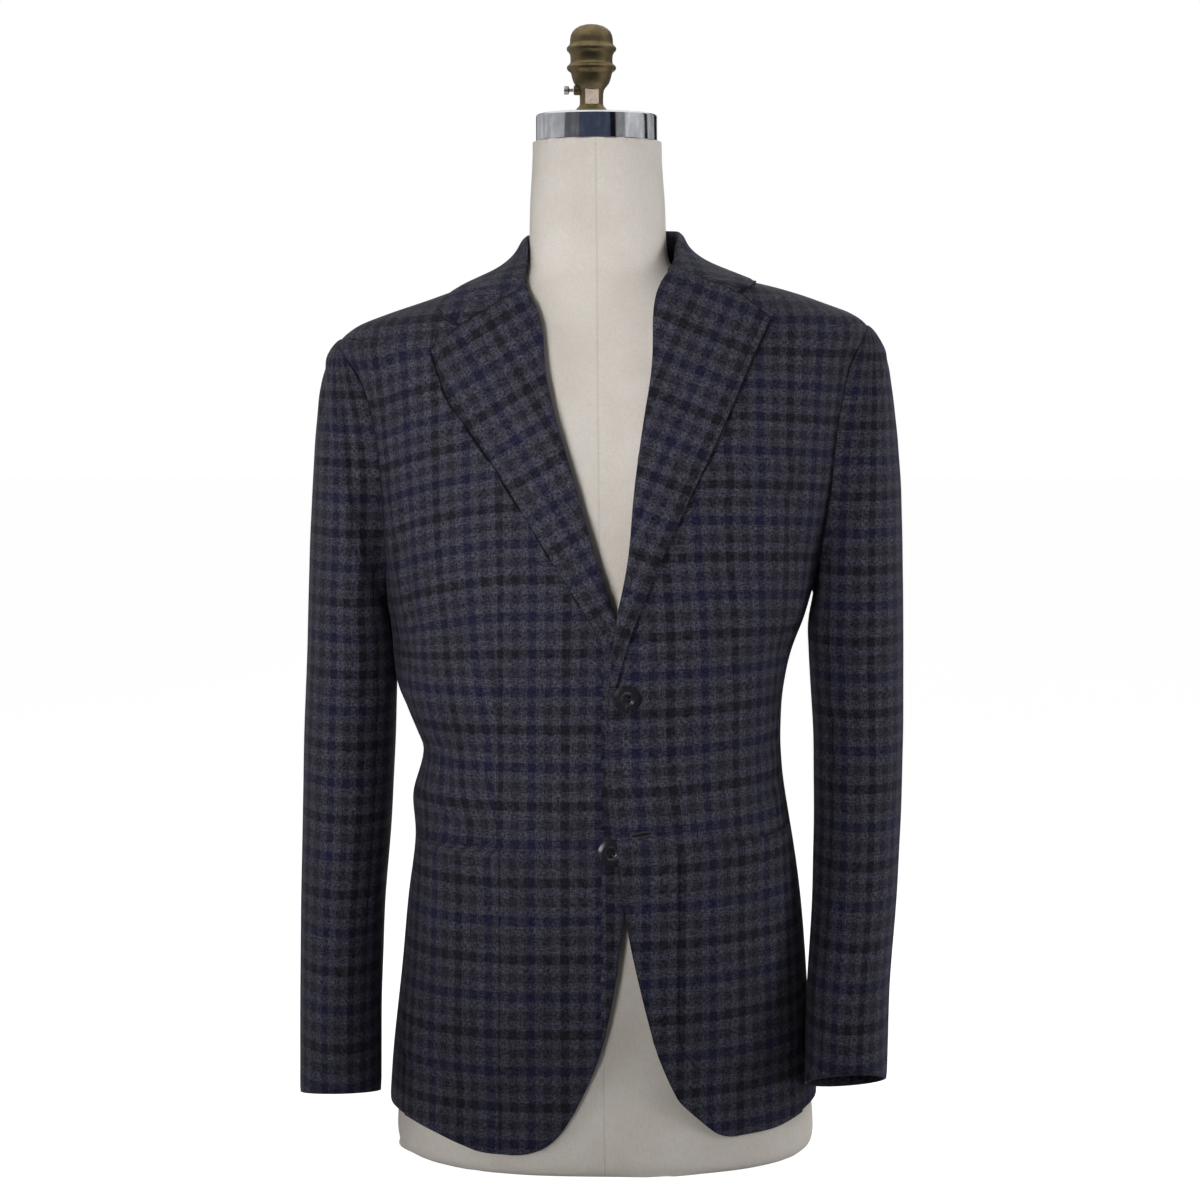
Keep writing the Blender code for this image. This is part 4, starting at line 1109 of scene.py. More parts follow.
class ClothMaker:
    """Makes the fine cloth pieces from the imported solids."""

    levels = 3
    under_levels = 2
    rim_angle = 48.0
    rim_round = 0.65
    smooth_angle = 60.0
    on_rim = 0.01  # millimetres from a sharp edge that still count as on it
    wall_side = 1.3  # millimetres from a sharp edge that a wall's narrow side reaches
    painted_shade_reach = 0.35  # millimetres over which a bevelled point takes a marked place's painted shade

    def __init__(self, finishes: Finishes) -> None:
        """Keeps the finishes."""
        self.finishes = finishes

    def wall(self, cut: Cut, refine: Callable[[bpy.types.Object], None] | None = None) -> bpy.types.Object:
        """A smooth fine copy of a packed cloth wall, with crisp seams.

        Args:
            cut: the piece's cut, with its node.
            refine: cuts more edges into the copy before it is made smooth.

        Returns:
            The piece.
        """
        piece = Bench.copy_of_node(cut.node, f"{cut.node}.cloth")
        if refine is not None:
            refine(piece)
        Bench.pick_sharp(piece, self.rim_angle, crease=1.0)
        self.hold_points(piece)
        levels = self.under_levels if cut.node.startswith("under") else self.levels
        Bench.modify(piece, "SUBSURF", levels=levels, render_levels=levels)
        return piece

    @staticmethod
    def hold_points(piece: bpy.types.Object) -> None:
        """Moves a piece's points a little, so that its smooth surface runs through where they were."""
        wanted = points_of(piece)
        modifier = piece.modifiers.new("trial", "SUBSURF")
        modifier.levels = 1
        for _ in range(3):
            trial = piece.evaluated_get(bpy.context.evaluated_depsgraph_get())
            reached = points_of(trial)[: len(wanted)]
            set_points(piece, points_of(piece) + wanted - reached)
        piece.modifiers.remove(modifier)

    def finish(self, piece: bpy.types.Object, cut: Cut, painted_shades: Array) -> bpy.types.Object:
        """Rounds a piece's rims, gives it its painted edge shade, dresses it and sets it in the frame."""
        places = points_of(piece)[painted_shades > 0]
        Bench.modify(
            piece,
            "BEVEL",
            width=self.rim_round * MM,
            segments=2,
            limit_method="ANGLE",
            angle_limit=math.radians(self.rim_angle),
            loop_slide=False,
        )
        self.write_painted_shade(piece, places, painted_shades[painted_shades > 0])
        Bench.smooth(piece, self.smooth_angle)
        dress(piece, self.finishes.wool, cut.node)
        return piece

    def rim(self, piece: bpy.types.Object) -> Array:
        """The numbers of the points on a fine piece's sharp edges."""
        Bench.pick_sharp(piece, self.rim_angle)
        mesh = piece.data
        chosen = np.zeros(len(mesh.edges), bool)
        mesh.edges.foreach_get("select", chosen)
        ends = np.empty(len(mesh.edges) * 2, int)
        mesh.edges.foreach_get("vertices", ends)
        return np.unique(ends.reshape(-1, 2)[chosen])

    def seam_distance(self, piece: bpy.types.Object) -> Array:
        """How far each point of a fine piece is from its nearest sharp edge."""
        points = points_of(piece)
        tree = tree_of(points[self.rim(piece)])
        return np.array([tree.find(point)[2] for point in points])

    @classmethod
    def paint_edge_shade(
        cls, piece: bpy.types.Object, outward: Array, distance: Array, darkness: Array | float
    ) -> Array:
        """How dark each point is painted: the given darkness, as painted shade, on edges and on the wall's
        narrow sides.

        Args:
            piece: the fine piece.
            outward: the way out of the worn surface at each point.
            distance: how far each point is from the nearest sharp edge.
            darkness: how dark the painted shade on the edges and the wall's narrow sides is.
        """
        facing = np.abs(np.einsum("ij,ij->i", normals_of(piece), outward))
        narrow = (distance < cls.wall_side) & (facing < 0.6)
        return ((distance < cls.on_rim) | narrow) * darkness

    @classmethod
    def write_painted_shade(cls, piece: bpy.types.Object, places: Array, painted_shades: Array) -> None:
        """Gives each point the painted shade of the nearest marked place, where one is close."""
        tree = tree_of(places)
        values = np.zeros(len(piece.data.vertices), np.float32)
        for number, point in enumerate(points_of(piece)):
            _, nearest, distance = tree.find(point)
            if distance < cls.painted_shade_reach:
                values[number] = painted_shades[nearest]
        piece.data.attributes.new(EDGE, "FLOAT", "POINT").data.foreach_set("value", values)

    @staticmethod
    def sideways(piece: bpy.types.Object, outward: Array) -> tuple[Array, Array]:
        """How much each point of a piece faces out, and the level direction that it faces."""
        normals = normals_of(piece)
        facing = np.einsum("ij,ij->i", normals, outward)
        level = normals - facing[:, None] * outward
        return facing, level / np.maximum(np.linalg.norm(level, axis=1, keepdims=True), 1e-6)

    def spread_foot(self, piece: bpy.types.Object, outward: Array, width: float, side: float) -> None:
        """Moves the lower rim of a wall outwards, so that its side, darkened by painted shade, shows as a
        thin line.

        Args:
            piece: the fine piece.
            outward: the way out of the worn surface at each point.
            width: how far the rim is moved.
            side: -1 or 1 for only the rim that faces the wearer's right or left, 0 for all of it.
        """
        rim = self.rim(piece)
        points = points_of(piece)
        facing, level = self.sideways(piece, outward)
        lower = rim[(facing[rim] < -0.1) & (level[rim, 0] * side >= 0)]
        points[lower] += level[lower] * width
        set_points(piece, points)

    @staticmethod
    def seam_dip(
        piece: bpy.types.Object, outward: Array, distance: Array, deep: float, reach: float = 2.6
    ) -> Array:
        """How far the cloth sinks at its seams and edges, on its outer side only."""
        faces_out = np.einsum("ij,ij->i", normals_of(piece), outward) > -0.2
        return -deep * np.exp(-((distance / reach) ** 2)) * faces_out


class Bodice:
    """Fronts, sides, backs, lapels, pockets, welt and collar."""

    cuts = {
        "front_right": Cut("front_right", 0.290, 0.745, 0.150),
        "front_left": Cut("front_left", 0.275, 0.740, 0.136),
        "side_right": Cut("side_right", 0.125, 0.450, 0.047),
        "side_left": Cut("side_left", 0.125, 0.450, 0.046),
        "back_right": Cut("back_right", 0.230, 0.750, 0.139),
        "back_left": Cut("back_left", 0.230, 0.750, 0.140),
        "lapel_right": Cut("lapel_right", 0.098, 0.330, 0.0190, ("front_right.cloth",)),
        "lapel_left": Cut("lapel_left", 0.092, 0.340, 0.0190, ("front_left.cloth",)),
        "collar": Cut("collar", 0.460, 0.080, 0.0290),
        "patch_pocket_right": Cut("patch_pocket_right", 0.138, 0.182, 0.0245, ("front_right.cloth",)),
        "patch_pocket_left": Cut("patch_pocket_left", 0.138, 0.182, 0.0245, ("front_left.cloth",)),
        "breast_welt": Cut("breast_welt", 0.100, 0.031, 0.0031, ("front_left.cloth",)),
    }
    plain_dip = 0.4
    dips = {"lapel": 0.3, "patch": 0.9, "breast": 0.9, "collar": 0.3}
    lifts = {"lapel": 1.6}
    feet = {"lapel": 2.3, "collar": 0.9, "front": 0.6, "patch": 0.5, "breast": 0.5}
    # How dark each kind of piece's edges and narrow wall sides are painted, as painted shade.
    painted_shade_by_kind = {"lapel": 1.0, "collar": 0.9, "breast": 0.45, "front": 0.75, "side": 0.5, "back": 0.5}
    pocket_mouth = (240.0, 256.0)  # heights between which the painted shade on a pocket's edges grows
    outer_sides = {"lapel_right": -1.0, "lapel_left": 1.0}
    lapel_painted_line = 2.4  # painted shade on a lapel's outer side; past 1, so that the painted dark line is broad
    lapel_cloth = {
        Side.RIGHT: TurnedCloth((-108.0, 607.0), 30.0),
        Side.LEFT: TurnedCloth((92.0, 607.0), -24.0),
    }

    def __init__(self, maker: ClothMaker) -> None:
        """Keeps the cloth maker."""
        self.maker = maker
        self.pieces: dict[str, bpy.types.Object] = {}
        self.rims: list[Array] = []

    @staticmethod
    def cut_dart(piece: bpy.types.Object) -> None:
        Bench.edit(piece)
        bpy.ops.mesh.select_all(action="SELECT")
        bpy.ops.mesh.bisect(plane_co=(DART_X * MM, 0, 0), plane_no=(1, 0, 0))
        Bench.close()

    def make(self) -> None:
        """Makes every piece of the jacket's body."""
        for name, cut in self.cuts.items():
            darted = name in ("front_right", "patch_pocket_right")
            piece = self.maker.wall(cut, self.cut_dart if darted else None)
            Weave.write(piece, self.way_to_lay(name))
            points = points_of(piece)
            outward = WORN.outward(points)
            kind = name.split("_")[0]
            rise = body_rise(points, centre_back=kind == "back") * (kind != "collar")
            rise += self.lifts.get(kind, 0.0)
            distance = self.maker.seam_distance(piece)
            rise += self.maker.seam_dip(piece, outward, distance, self.dips.get(kind, self.plain_dip))
            if kind == "front":
                along, height = WORN.around(points)
                rise += sum(trough.rise(along, height) for trough in LAPEL_TROUGHS)
            set_points(piece, points + outward * rise[:, None])
            # Painted shade on the edges and narrow wall sides: a pocket's grows towards its mouth, and a
            # lapel's outer side gets the broad painted dark line.
            dark = self.painted_shade_by_kind.get(kind, 0.0)
            if kind == "patch":
                dark = 0.25 + 0.45 * ease(points[:, 2], *self.pocket_mouth)
            side = self.outer_sides.get(name, 0.0)
            if side:
                _, level = self.maker.sideways(piece, outward)
                dark = np.where(level[:, 0] * side > 0.3, self.lapel_painted_line, dark)
            painted_shades = self.maker.paint_edge_shade(piece, outward, distance, dark)
            self.rims.append(points_of(piece)[self.maker.rim(piece)])
            self.maker.spread_foot(piece, outward, self.feet.get(kind, 0.0), side)
            self.pieces[name] = self.maker.finish(piece, cut, painted_shades)

    def way_to_lay(self, name: str) -> Lay:
        """How the check lies on a piece."""
        kind, *side = name.split("_")
        if kind == "lapel":
            return self.lapel_cloth[Side(side[0])].lay
        return {"back": Weave.back, "collar": CollarCloth().lay}.get(kind, Weave.front)


# Creases of the sleeves: distance round from the inner point, towards the front, and height.
SLEEVE_CREASES = {
    Side.RIGHT: (
        Crease(((62, 640), (74, 590), (86, 540)), 8.0, 2.6),
        Crease(((96, 660), (104, 610), (112, 560)), 8.0, 2.0, lip_side=-1),
        Crease(((40, 400), (60, 380), (92, 372)), 9.0, 1.8),
        Crease(((30, 360), (56, 348), (84, 352)), 8.0, 2.0, lip_side=-1),
        Crease(((24, 330), (48, 318), (80, 308)), 8.0, 1.6),
    ),
    Side.LEFT: (
        Crease(((66, 640), (76, 590), (84, 540)), 8.0, 2.0),
        Crease(((36, 410), (58, 392), (88, 388)), 9.0, 1.8),
        Crease(((28, 368), (52, 352), (86, 346)), 8.0, 2.2, lip_side=-1),
        Crease(((26, 330), (50, 322), (82, 316)), 8.0, 1.6),
    ),
}
ARMHOLE_FOOT = 440.0  # the height that the armholes' lowest points are above


class Sleeve:
    """One sleeve: its top and under pieces."""

    seam_turn = 250.0 - 360.0  # degrees round of the back seam
    cloth_radius = 43.0
    strong_bands = {
        Side.RIGHT: (36, 97, 157, 217, 277, 337, 397, 457.3, 514.3, 572.2, 628.4, 682),
        Side.LEFT: (59, 119, 180, 241, 302, 363.8, 424.2, 483.7, 544.9, 603, 660),
    }
    navy_turn = {Side.RIGHT: 104.0, Side.LEFT: 62.0}  # degrees round of a navy warp band
    slope = {Side.RIGHT: 0.05, Side.LEFT: -0.02}

    def __init__(self, maker: ClothMaker, side: Side) -> None:
        """Keeps the cloth maker and the side."""
        self.maker = maker
        self.side = side
        self.cuts = {
            "top": Cut(f"top_sleeve_{side.value}", 0.220, 0.640, 0.0945),
            "under": Cut(f"under_sleeve_{side.value}", 0.158, 0.600, 0.0600),
        }

    @staticmethod
    def _split_rows(piece: bpy.types.Object) -> None:
        """Cuts each lengthways edge in two, for creases that are closer than the rows."""
        Bench.edit(piece, "EDGE")
        Bench.close()
        mesh = piece.data
        for edge in mesh.edges:
            first, second = (mesh.vertices[i].co for i in edge.vertices)
            step = second - first
            edge.select = abs(step.z) > 2.2 * math.hypot(step.x, step.y) and step.length > 0.012
        bpy.ops.object.mode_set(mode="EDIT")
        bpy.ops.mesh.subdivide(number_cuts=1, smoothness=0.0)
        Bench.close()

    def measure_axis(self, clouds: Sequence[Array]) -> None:
        """Finds the sleeve's middle and half size at each height, from its pieces' points."""
        points = np.concatenate(clouds)
        heights = np.arange(40.0, 690.0, 18.0)
        rows = []
        for height in heights:
            ring = points[np.abs(points[:, 2] - height) < 12]
            if len(ring) < 8:
                continue
            low, high = ring.min(axis=0), ring.max(axis=0)
            rows.append((height, *((low + high) / 2)[:2], (high[0] - low[0]) / 2, (high[1] - low[1]) / 2))
        self.axis = Table(("x", "y", "half_x", "half_y"), rows)

    def around(self, points: Array) -> tuple[Array, Array, Array]:
        """Turn in radians from the inner point towards the front, distance round, and height."""
        height = points[:, 2]
        x = (points[:, 0] - self.axis.at("x", height)) * -self.side.sign
        y = points[:, 1] - self.axis.at("y", height)
        half_x, half_y = self.axis.at("half_x", height), self.axis.at("half_y", height)
        turn = np.arctan2(-y / half_y, x / half_x)
        girth_radius = np.sqrt((half_x**2 + half_y**2) / 2)
        return turn, turn * girth_radius, height

    def outward(self, points: Array) -> Array:
        """Unit directions level outwards from the sleeve's middle."""
        height = points[:, 2]
        out = np.zeros_like(points)
        out[:, 0] = (points[:, 0] - self.axis.at("x", height)) / self.axis.at("half_x", height) ** 2
        out[:, 1] = (points[:, 1] - self.axis.at("y", height)) / self.axis.at("half_y", height) ** 2
        return out / np.maximum(np.linalg.norm(out, axis=1, keepdims=True), 1e-9)

    def lay(self, points: Array, middles: Array) -> tuple[Array, Array]:
        """The map of the sleeve's pieces; it breaks at the back seam."""
        turn, _, height = self.around(points)
        middle_turn, _, _ = self.around(middles)
        turn = np.where(turn - middle_turn > math.pi, turn - 2 * math.pi, turn)
        turn = np.where(middle_turn - turn > math.pi, turn + 2 * math.pi, turn)
        turn = np.where(middle_turn < math.radians(self.seam_turn), turn + 2 * math.pi, turn)
        across = (turn - math.radians(self.navy_turn[self.side])) * self.cloth_radius
        level = height + self.slope[self.side] * (points[:, 0] - self.axis.at("x", height))
        return across / WARP_PERIOD + 0.5, counted(self.strong_bands[self.side], level)

    @staticmethod
    def armhole(rims: Sequence[Array], heads: Array) -> KDTree:
        """The points of the body's edges that lie along the sleeve's head."""
        near = tree_of(heads)
        edges = np.concatenate(rims)
        edges = edges[edges[:, 2] > ARMHOLE_FOOT]
        return tree_of([point for point in edges if near.find(point)[2] < 7])

    @staticmethod
    def sewn(points: Array, armhole: KDTree) -> Array:
        """The points with those near the armhole drawn up to its edge."""
        drawn = points.copy()
        for place in np.flatnonzero(points[:, 2] > ARMHOLE_FOOT):
            found, _, distance = armhole.find(points[place])
            if distance < 15:
                share = 0.88 * math.exp(-((distance / 5.0) ** 2))
                drawn[place] += (np.array(found) - points[place]) * share
        return drawn

    def make(self, rims: Sequence[Array]) -> None:
        """Makes both pieces of the sleeve.

        Args:
            rims: the points along the edges of the body's pieces.
        """
        walls = {key: self.maker.wall(cut, self._split_rows) for key, cut in self.cuts.items()}
        clouds = [points_of(piece) for piece in walls.values()]
        self.measure_axis(clouds)
        heads = [cloud[self.maker.rim(piece)] for cloud, piece in zip(clouds, walls.values())]
        heads = np.concatenate(heads)
        armhole = self.armhole(rims, heads[heads[:, 2] > ARMHOLE_FOOT])
        for key, piece in walls.items():
            Weave.write(piece, self.lay)
            points = points_of(piece)
            outward = self.outward(points)
            _, run, height = self.around(points)
            distance = self.maker.seam_distance(piece)
            rise = self.maker.seam_dip(piece, outward, distance, 0.45)
            for crease in SLEEVE_CREASES[self.side]:
                rise += crease.rise(run, height)
            rise *= 1 - ease(height, 640, 676)
            set_points(piece, self.sewn(points + outward * rise[:, None], armhole))
            # Painted shade on the sleeve's edges and narrow wall sides.
            painted_shades = self.maker.paint_edge_shade(piece, outward, distance, 0.6)
            self.maker.finish(piece, self.cuts[key], painted_shades)


# ---- buttons -------------------------------------------------------------------------------------


class Button:
    """A dished four-hole button with its crossed thread."""

    outline = (
        (9.6, 0.7), (10.4, 1.1), (10.9, 1.8), (11.0, 2.4), (10.6, 2.95), (8.4, 3.4), (6.6, 3.7),
        (5.8, 3.65), (5.1, 3.3), (4.5, 2.9), (0.4, 2.8),
    )
    hole_circle = 2.1
    hole_radius = 0.95

    def __init__(self, finishes: Finishes, node: str, turn: float) -> None:
        """Keeps the finishes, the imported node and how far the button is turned, in degrees."""
        self.finishes = finishes
        self.node = node
        self.turn = math.radians(turn)

    def seat(self) -> tuple[Vector, Vector]:
        """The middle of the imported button's back and the way that it faces."""
        mesh = frame["nodes"][self.node].data
        points = np.array([vertex.co for vertex in mesh.vertices])
        middle = points.mean(axis=0)
        _, _, ways = np.linalg.svd(np.unique(points.round(7), axis=0) - middle)
        facing = ways[2] if ways[2][1] < 0 else -ways[2]
        back = (points @ facing).min()
        middle_on_axis = middle + facing * (back - middle @ facing)
        return Vector(middle_on_axis), Vector(facing)

    def make(self) -> None:
        """Makes the button, its holes and its thread."""
        base, facing = self.seat()
        disc = Bench.cast(f"{self.node}.horn", self.outline, 72)
        stem = Bench.cast("stem", ((1.7, 0.0), (1.9, 1.0)), 16)
        turns = [self.turn + math.radians(angle) for angle in (45, 135, 225, 315)]
        corners = [(self.hole_circle * math.cos(turn), self.hole_circle * math.sin(turn)) for turn in turns]
        for x, y in corners:
            hole = {"radius": self.hole_radius * MM, "depth": 6 * MM, "location": (x * MM, y * MM, 2 * MM)}
            drill = Bench.basic("cylinder", "drill", vertices=20, **hole)
            Bench.modify(disc, "BOOLEAN", operation="DIFFERENCE", solver="EXACT", object=drill)
            bpy.data.objects.remove(drill)
        Bench.smooth(disc, Bench.turned_edge)
        strands = []
        for first, second in ((corners[0], corners[2]), (corners[1], corners[3])):
            lift = 3.15 if first is corners[0] else 3.5
            for shift in (-0.32, 0.32):
                strands.append(self._strand(first, second, lift, shift))
        thread = Bench.joined(f"{self.node}.thread", [stem, *strands])
        Bench.stand(disc, base, facing)
        dress(disc, self.finishes.horn, self.node)
        Bench.stand(thread, base, facing)
        dress(thread, self.finishes.dark_thread)

    @staticmethod
    def _strand(first: Place, second: Place, lift: float, shift: float) -> bpy.types.Object:
        """One strand of thread that bows over the button from hole to hole."""
        start, end = Vector((*first, 0)), Vector((*second, 0))
        ahead = (end - start).normalized()
        aside = Vector((-ahead.y, ahead.x, 0)) * shift
        places = []
        for i in range(9):
            share = i / 8
            bow = math.sin(math.pi * share) ** 0.5
            place = start.lerp(end, share) + aside + Vector((0, 0, 1.2 + (lift - 1.2) * bow))
            places.append(place * MM)
        return Bench.cord("strand", places, 0.33)


class Buttonhole:
    """A worked buttonhole: a raised purl of thread round a near-black disc that is painted shade for its
    opening.
    """

    def __init__(
        self, finishes: Finishes, name: str, place: Place, length: float, tilt: float, dark: bool = False
    ) -> None:
        """Keeps the sizes.

        Args:
            finishes: the shared materials.
            name: the buttonhole's name.
            place: x and height of its middle, in millimetres.
            length: its length.
            tilt: degrees that its wearer's left end is raised.
            dark: sewn with the dark thread.
        """
        self.finishes = finishes
        self.thread = finishes.dark_thread if dark else finishes.thread
        self.name = name
        self.place = place
        self.length = length
        self.tilt = math.radians(tilt)

    def _on_cloth(self, cloth: bpy.types.Object, run: float, rise: float, out: float) -> Vector | None:
        """The point of the cloth's face that lies under a point of the buttonhole's own plane."""
        x = self.place[0] + run * math.cos(self.tilt) - rise * math.sin(self.tilt)
        z = self.place[1] + run * math.sin(self.tilt) + rise * math.cos(self.tilt)
        hit, spot, normal, _ = cloth.ray_cast(Vector((x * MM, -0.4, z * MM)), Vector((0, 1, 0)))
        return spot + normal * (out * MM) if hit else None

    def make(self, cloth: bpy.types.Object) -> None:
        """Works the buttonhole on a cloth piece."""
        half = self.length / 2
        stitches = 64
        places = []
        for i in range(stitches):
            turn = 2 * math.pi * i / stitches
            eye = 0.75 * math.exp(-(((math.cos(turn) + 1) / 0.35) ** 2))
            run = (half - 0.6) * math.copysign(abs(math.cos(turn)) ** 0.55, math.cos(turn))
            rise = (1.5 + eye) * math.copysign(abs(math.sin(turn)) ** 0.6, math.sin(turn))
            spot = self._on_cloth(cloth, run, rise, 0.15 + 0.16 * (i % 2))
            if spot is not None:
                places.append(spot)
        purl = Bench.cord(f"{self.name}.purl", places, 0.5, closed=True)
        Bench.smooth(purl, 60)
        dress(purl, self.thread)
        # A near-black disc just above the cloth is painted shade in the buttonhole's opening.
        slit = Bench.basic("circle", f"{self.name}.slit", vertices=32, radius=1, fill_type="NGON")
        for vertex in slit.data.vertices:
            spot = self._on_cloth(cloth, vertex.co.x * (half - 0.7), vertex.co.y * 1.25, 0.62)
            if spot is not None:
                vertex.co = spot
        if slit.data.polygons[0].normal.y > 0:
            slit.data.flip_normals()
        dress(slit, self.finishes.slit)


# ---- the dress form -------------------------------------------------------------------------------


class DressForm:
    """The canvas body with its cap, finial and thumb screw."""

    finial_outline = (
        (14.6, 0.3), (14.8, 1.2), (14.7, 2.6), (13.6, 4.0), (12.2, 5.8), (10.6, 7.4), (10.0, 8.9),
        (9.9, 12.0), (10.1, 18.0), (10.6, 20.6), (11.6, 22.6), (13.2, 24.4), (14.8, 26.6),
        (15.8, 29.0), (16.6, 31.6), (17.2, 34.4), (18.0, 36.2), (19.4, 37.2), (20.6, 38.4),
        (21.0, 39.8), (20.7, 41.2), (19.5, 42.3), (18.4, 43.4), (17.9, 45.2), (17.9, 48.6),
        (18.3, 51.2), (19.4, 53.2), (20.7, 54.4), (21.2, 55.9), (20.9, 57.3), (19.8, 58.5),
        (18.7, 59.7), (18.3, 61.6), (18.2, 64.4), (17.6, 67.6), (16.2, 70.6), (13.8, 73.2),
        (10.4, 75.3), (6.0, 76.6), (0.3, 77.0),
    )
    plate = (11.6, 13.0)

    def __init__(self, finishes: Finishes) -> None:
        """Keeps the finishes."""
        self.finishes = finishes

    def make(self) -> None:
        """Makes the form's pieces."""
        self.cover()
        self.cap()
        self.finial()
        self.screw()

    def cover(self) -> None:
        """The canvas body, made smooth."""
        piece = Bench.copy_of_node("form_body", "form_body.canvas")
        Bench.pick_sharp(piece, 40, crease=0.9)
        ClothMaker.hold_points(piece)
        Bench.modify(piece, "SUBSURF", levels=2, render_levels=2)
        Bench.smooth(piece, 50)
        dress(piece, self.finishes.canvas, "form_body")

    def cap(self) -> None:
        """The polished metal cap on the neck."""
        low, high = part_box("neck_cap")
        middle = (low + high) / 2
        radius, tall = (high.x - low.x) / 2 / MM, (high.z - low.z) / MM
        outline = (
            (radius - 1.2, 0.0),
            (radius - 0.5, 0.15),
            (radius, 0.7),
            (radius, tall - 2.0),
            (radius - 0.3, tall - 1.0),
            (radius - 1.1, tall - 0.25),
            (radius - 2.2, tall),
            (16.0, tall),
            (15.0, tall - 0.05),
            (0.5, tall - 0.05),
        )
        piece = Bench.cast("neck_cap.chrome", outline, 128)
        Bench.stand(piece, Vector((middle.x, middle.y, low.z)))
        dress(piece, self.finishes.chrome, "neck_cap")

    def finial(self) -> None:
        """The turned knob with the boss of its screw and its small label plate, left bare."""
        low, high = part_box("finial")
        screw_low, screw_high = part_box("thumb_screw")
        axis_height = (screw_low.z + screw_high.z) / 2
        foot = Vector((high.x - 21.1 * MM, (low.y + high.y) / 2, low.z - 0.3 * MM))
        knob = Bench.cast("finial.brass", self.finial_outline, 96)
        Bench.stand(knob, foot)
        boss = Bench.cast("boss", ((4.1, 0.0), (4.2, 0.4), (4.2, 8.9), (3.9, 9.7), (3.3, 10.2)), 40)
        Bench.stand(boss, Vector((foot.x - 5 * MM, foot.y, axis_height)), Vector((-1, 0, 0)))
        joined = Bench.joined("finial.brass", [knob, boss])
        dress(joined, self.finishes.brass, "finial")
        plate = Bench.basic("cube", "finial_plate.nickel", size=1)
        wide, tall = self.plate
        plate.data.transform(Matrix.Diagonal((wide * MM, 2.2 * MM, tall * MM, 1)))
        Bench.modify(plate, "BEVEL", width=0.9 * MM, segments=3)
        Bench.stand(plate, Vector((foot.x + 0.4 * MM, foot.y - 9.7 * MM, foot.z + 15.0 * MM)))
        Bench.smooth(plate, 40)
        dress(plate, self.finishes.plate)

    def screw(self) -> None:
        """The thumb screw: a shank and a head with a notched rim."""
        low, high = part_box("thumb_screw")
        axis_height = (low.z + high.z) / 2
        outline = ((1.45, 0.0), (1.5, 3.3), (3.2, 3.7), (3.7, 4.3), (3.7, 7.3), (3.3, 7.8), (0.6, 7.9))
        piece = Bench.cast("thumb_screw.nickel", outline, 48)
        points = points_of(piece)
        radius = np.hypot(points[:, 0], points[:, 1])
        turn = np.arctan2(points[:, 1], points[:, 0])
        notch = np.where(radius > 3.5, 1 - 0.05 * (np.cos(turn * 16) < 0), 1.0)
        points[:, :2] *= notch[:, None]
        set_points(piece, points)
        Bench.stand(piece, Vector((high.x, (low.y + high.y) / 2, axis_height)), Vector((-1, 0, 0)))
        dress(piece, self.finishes.nickel, "thumb_screw", Body.SCREW)


# ---- camera, floor and light ------------------------------------------------------------------------


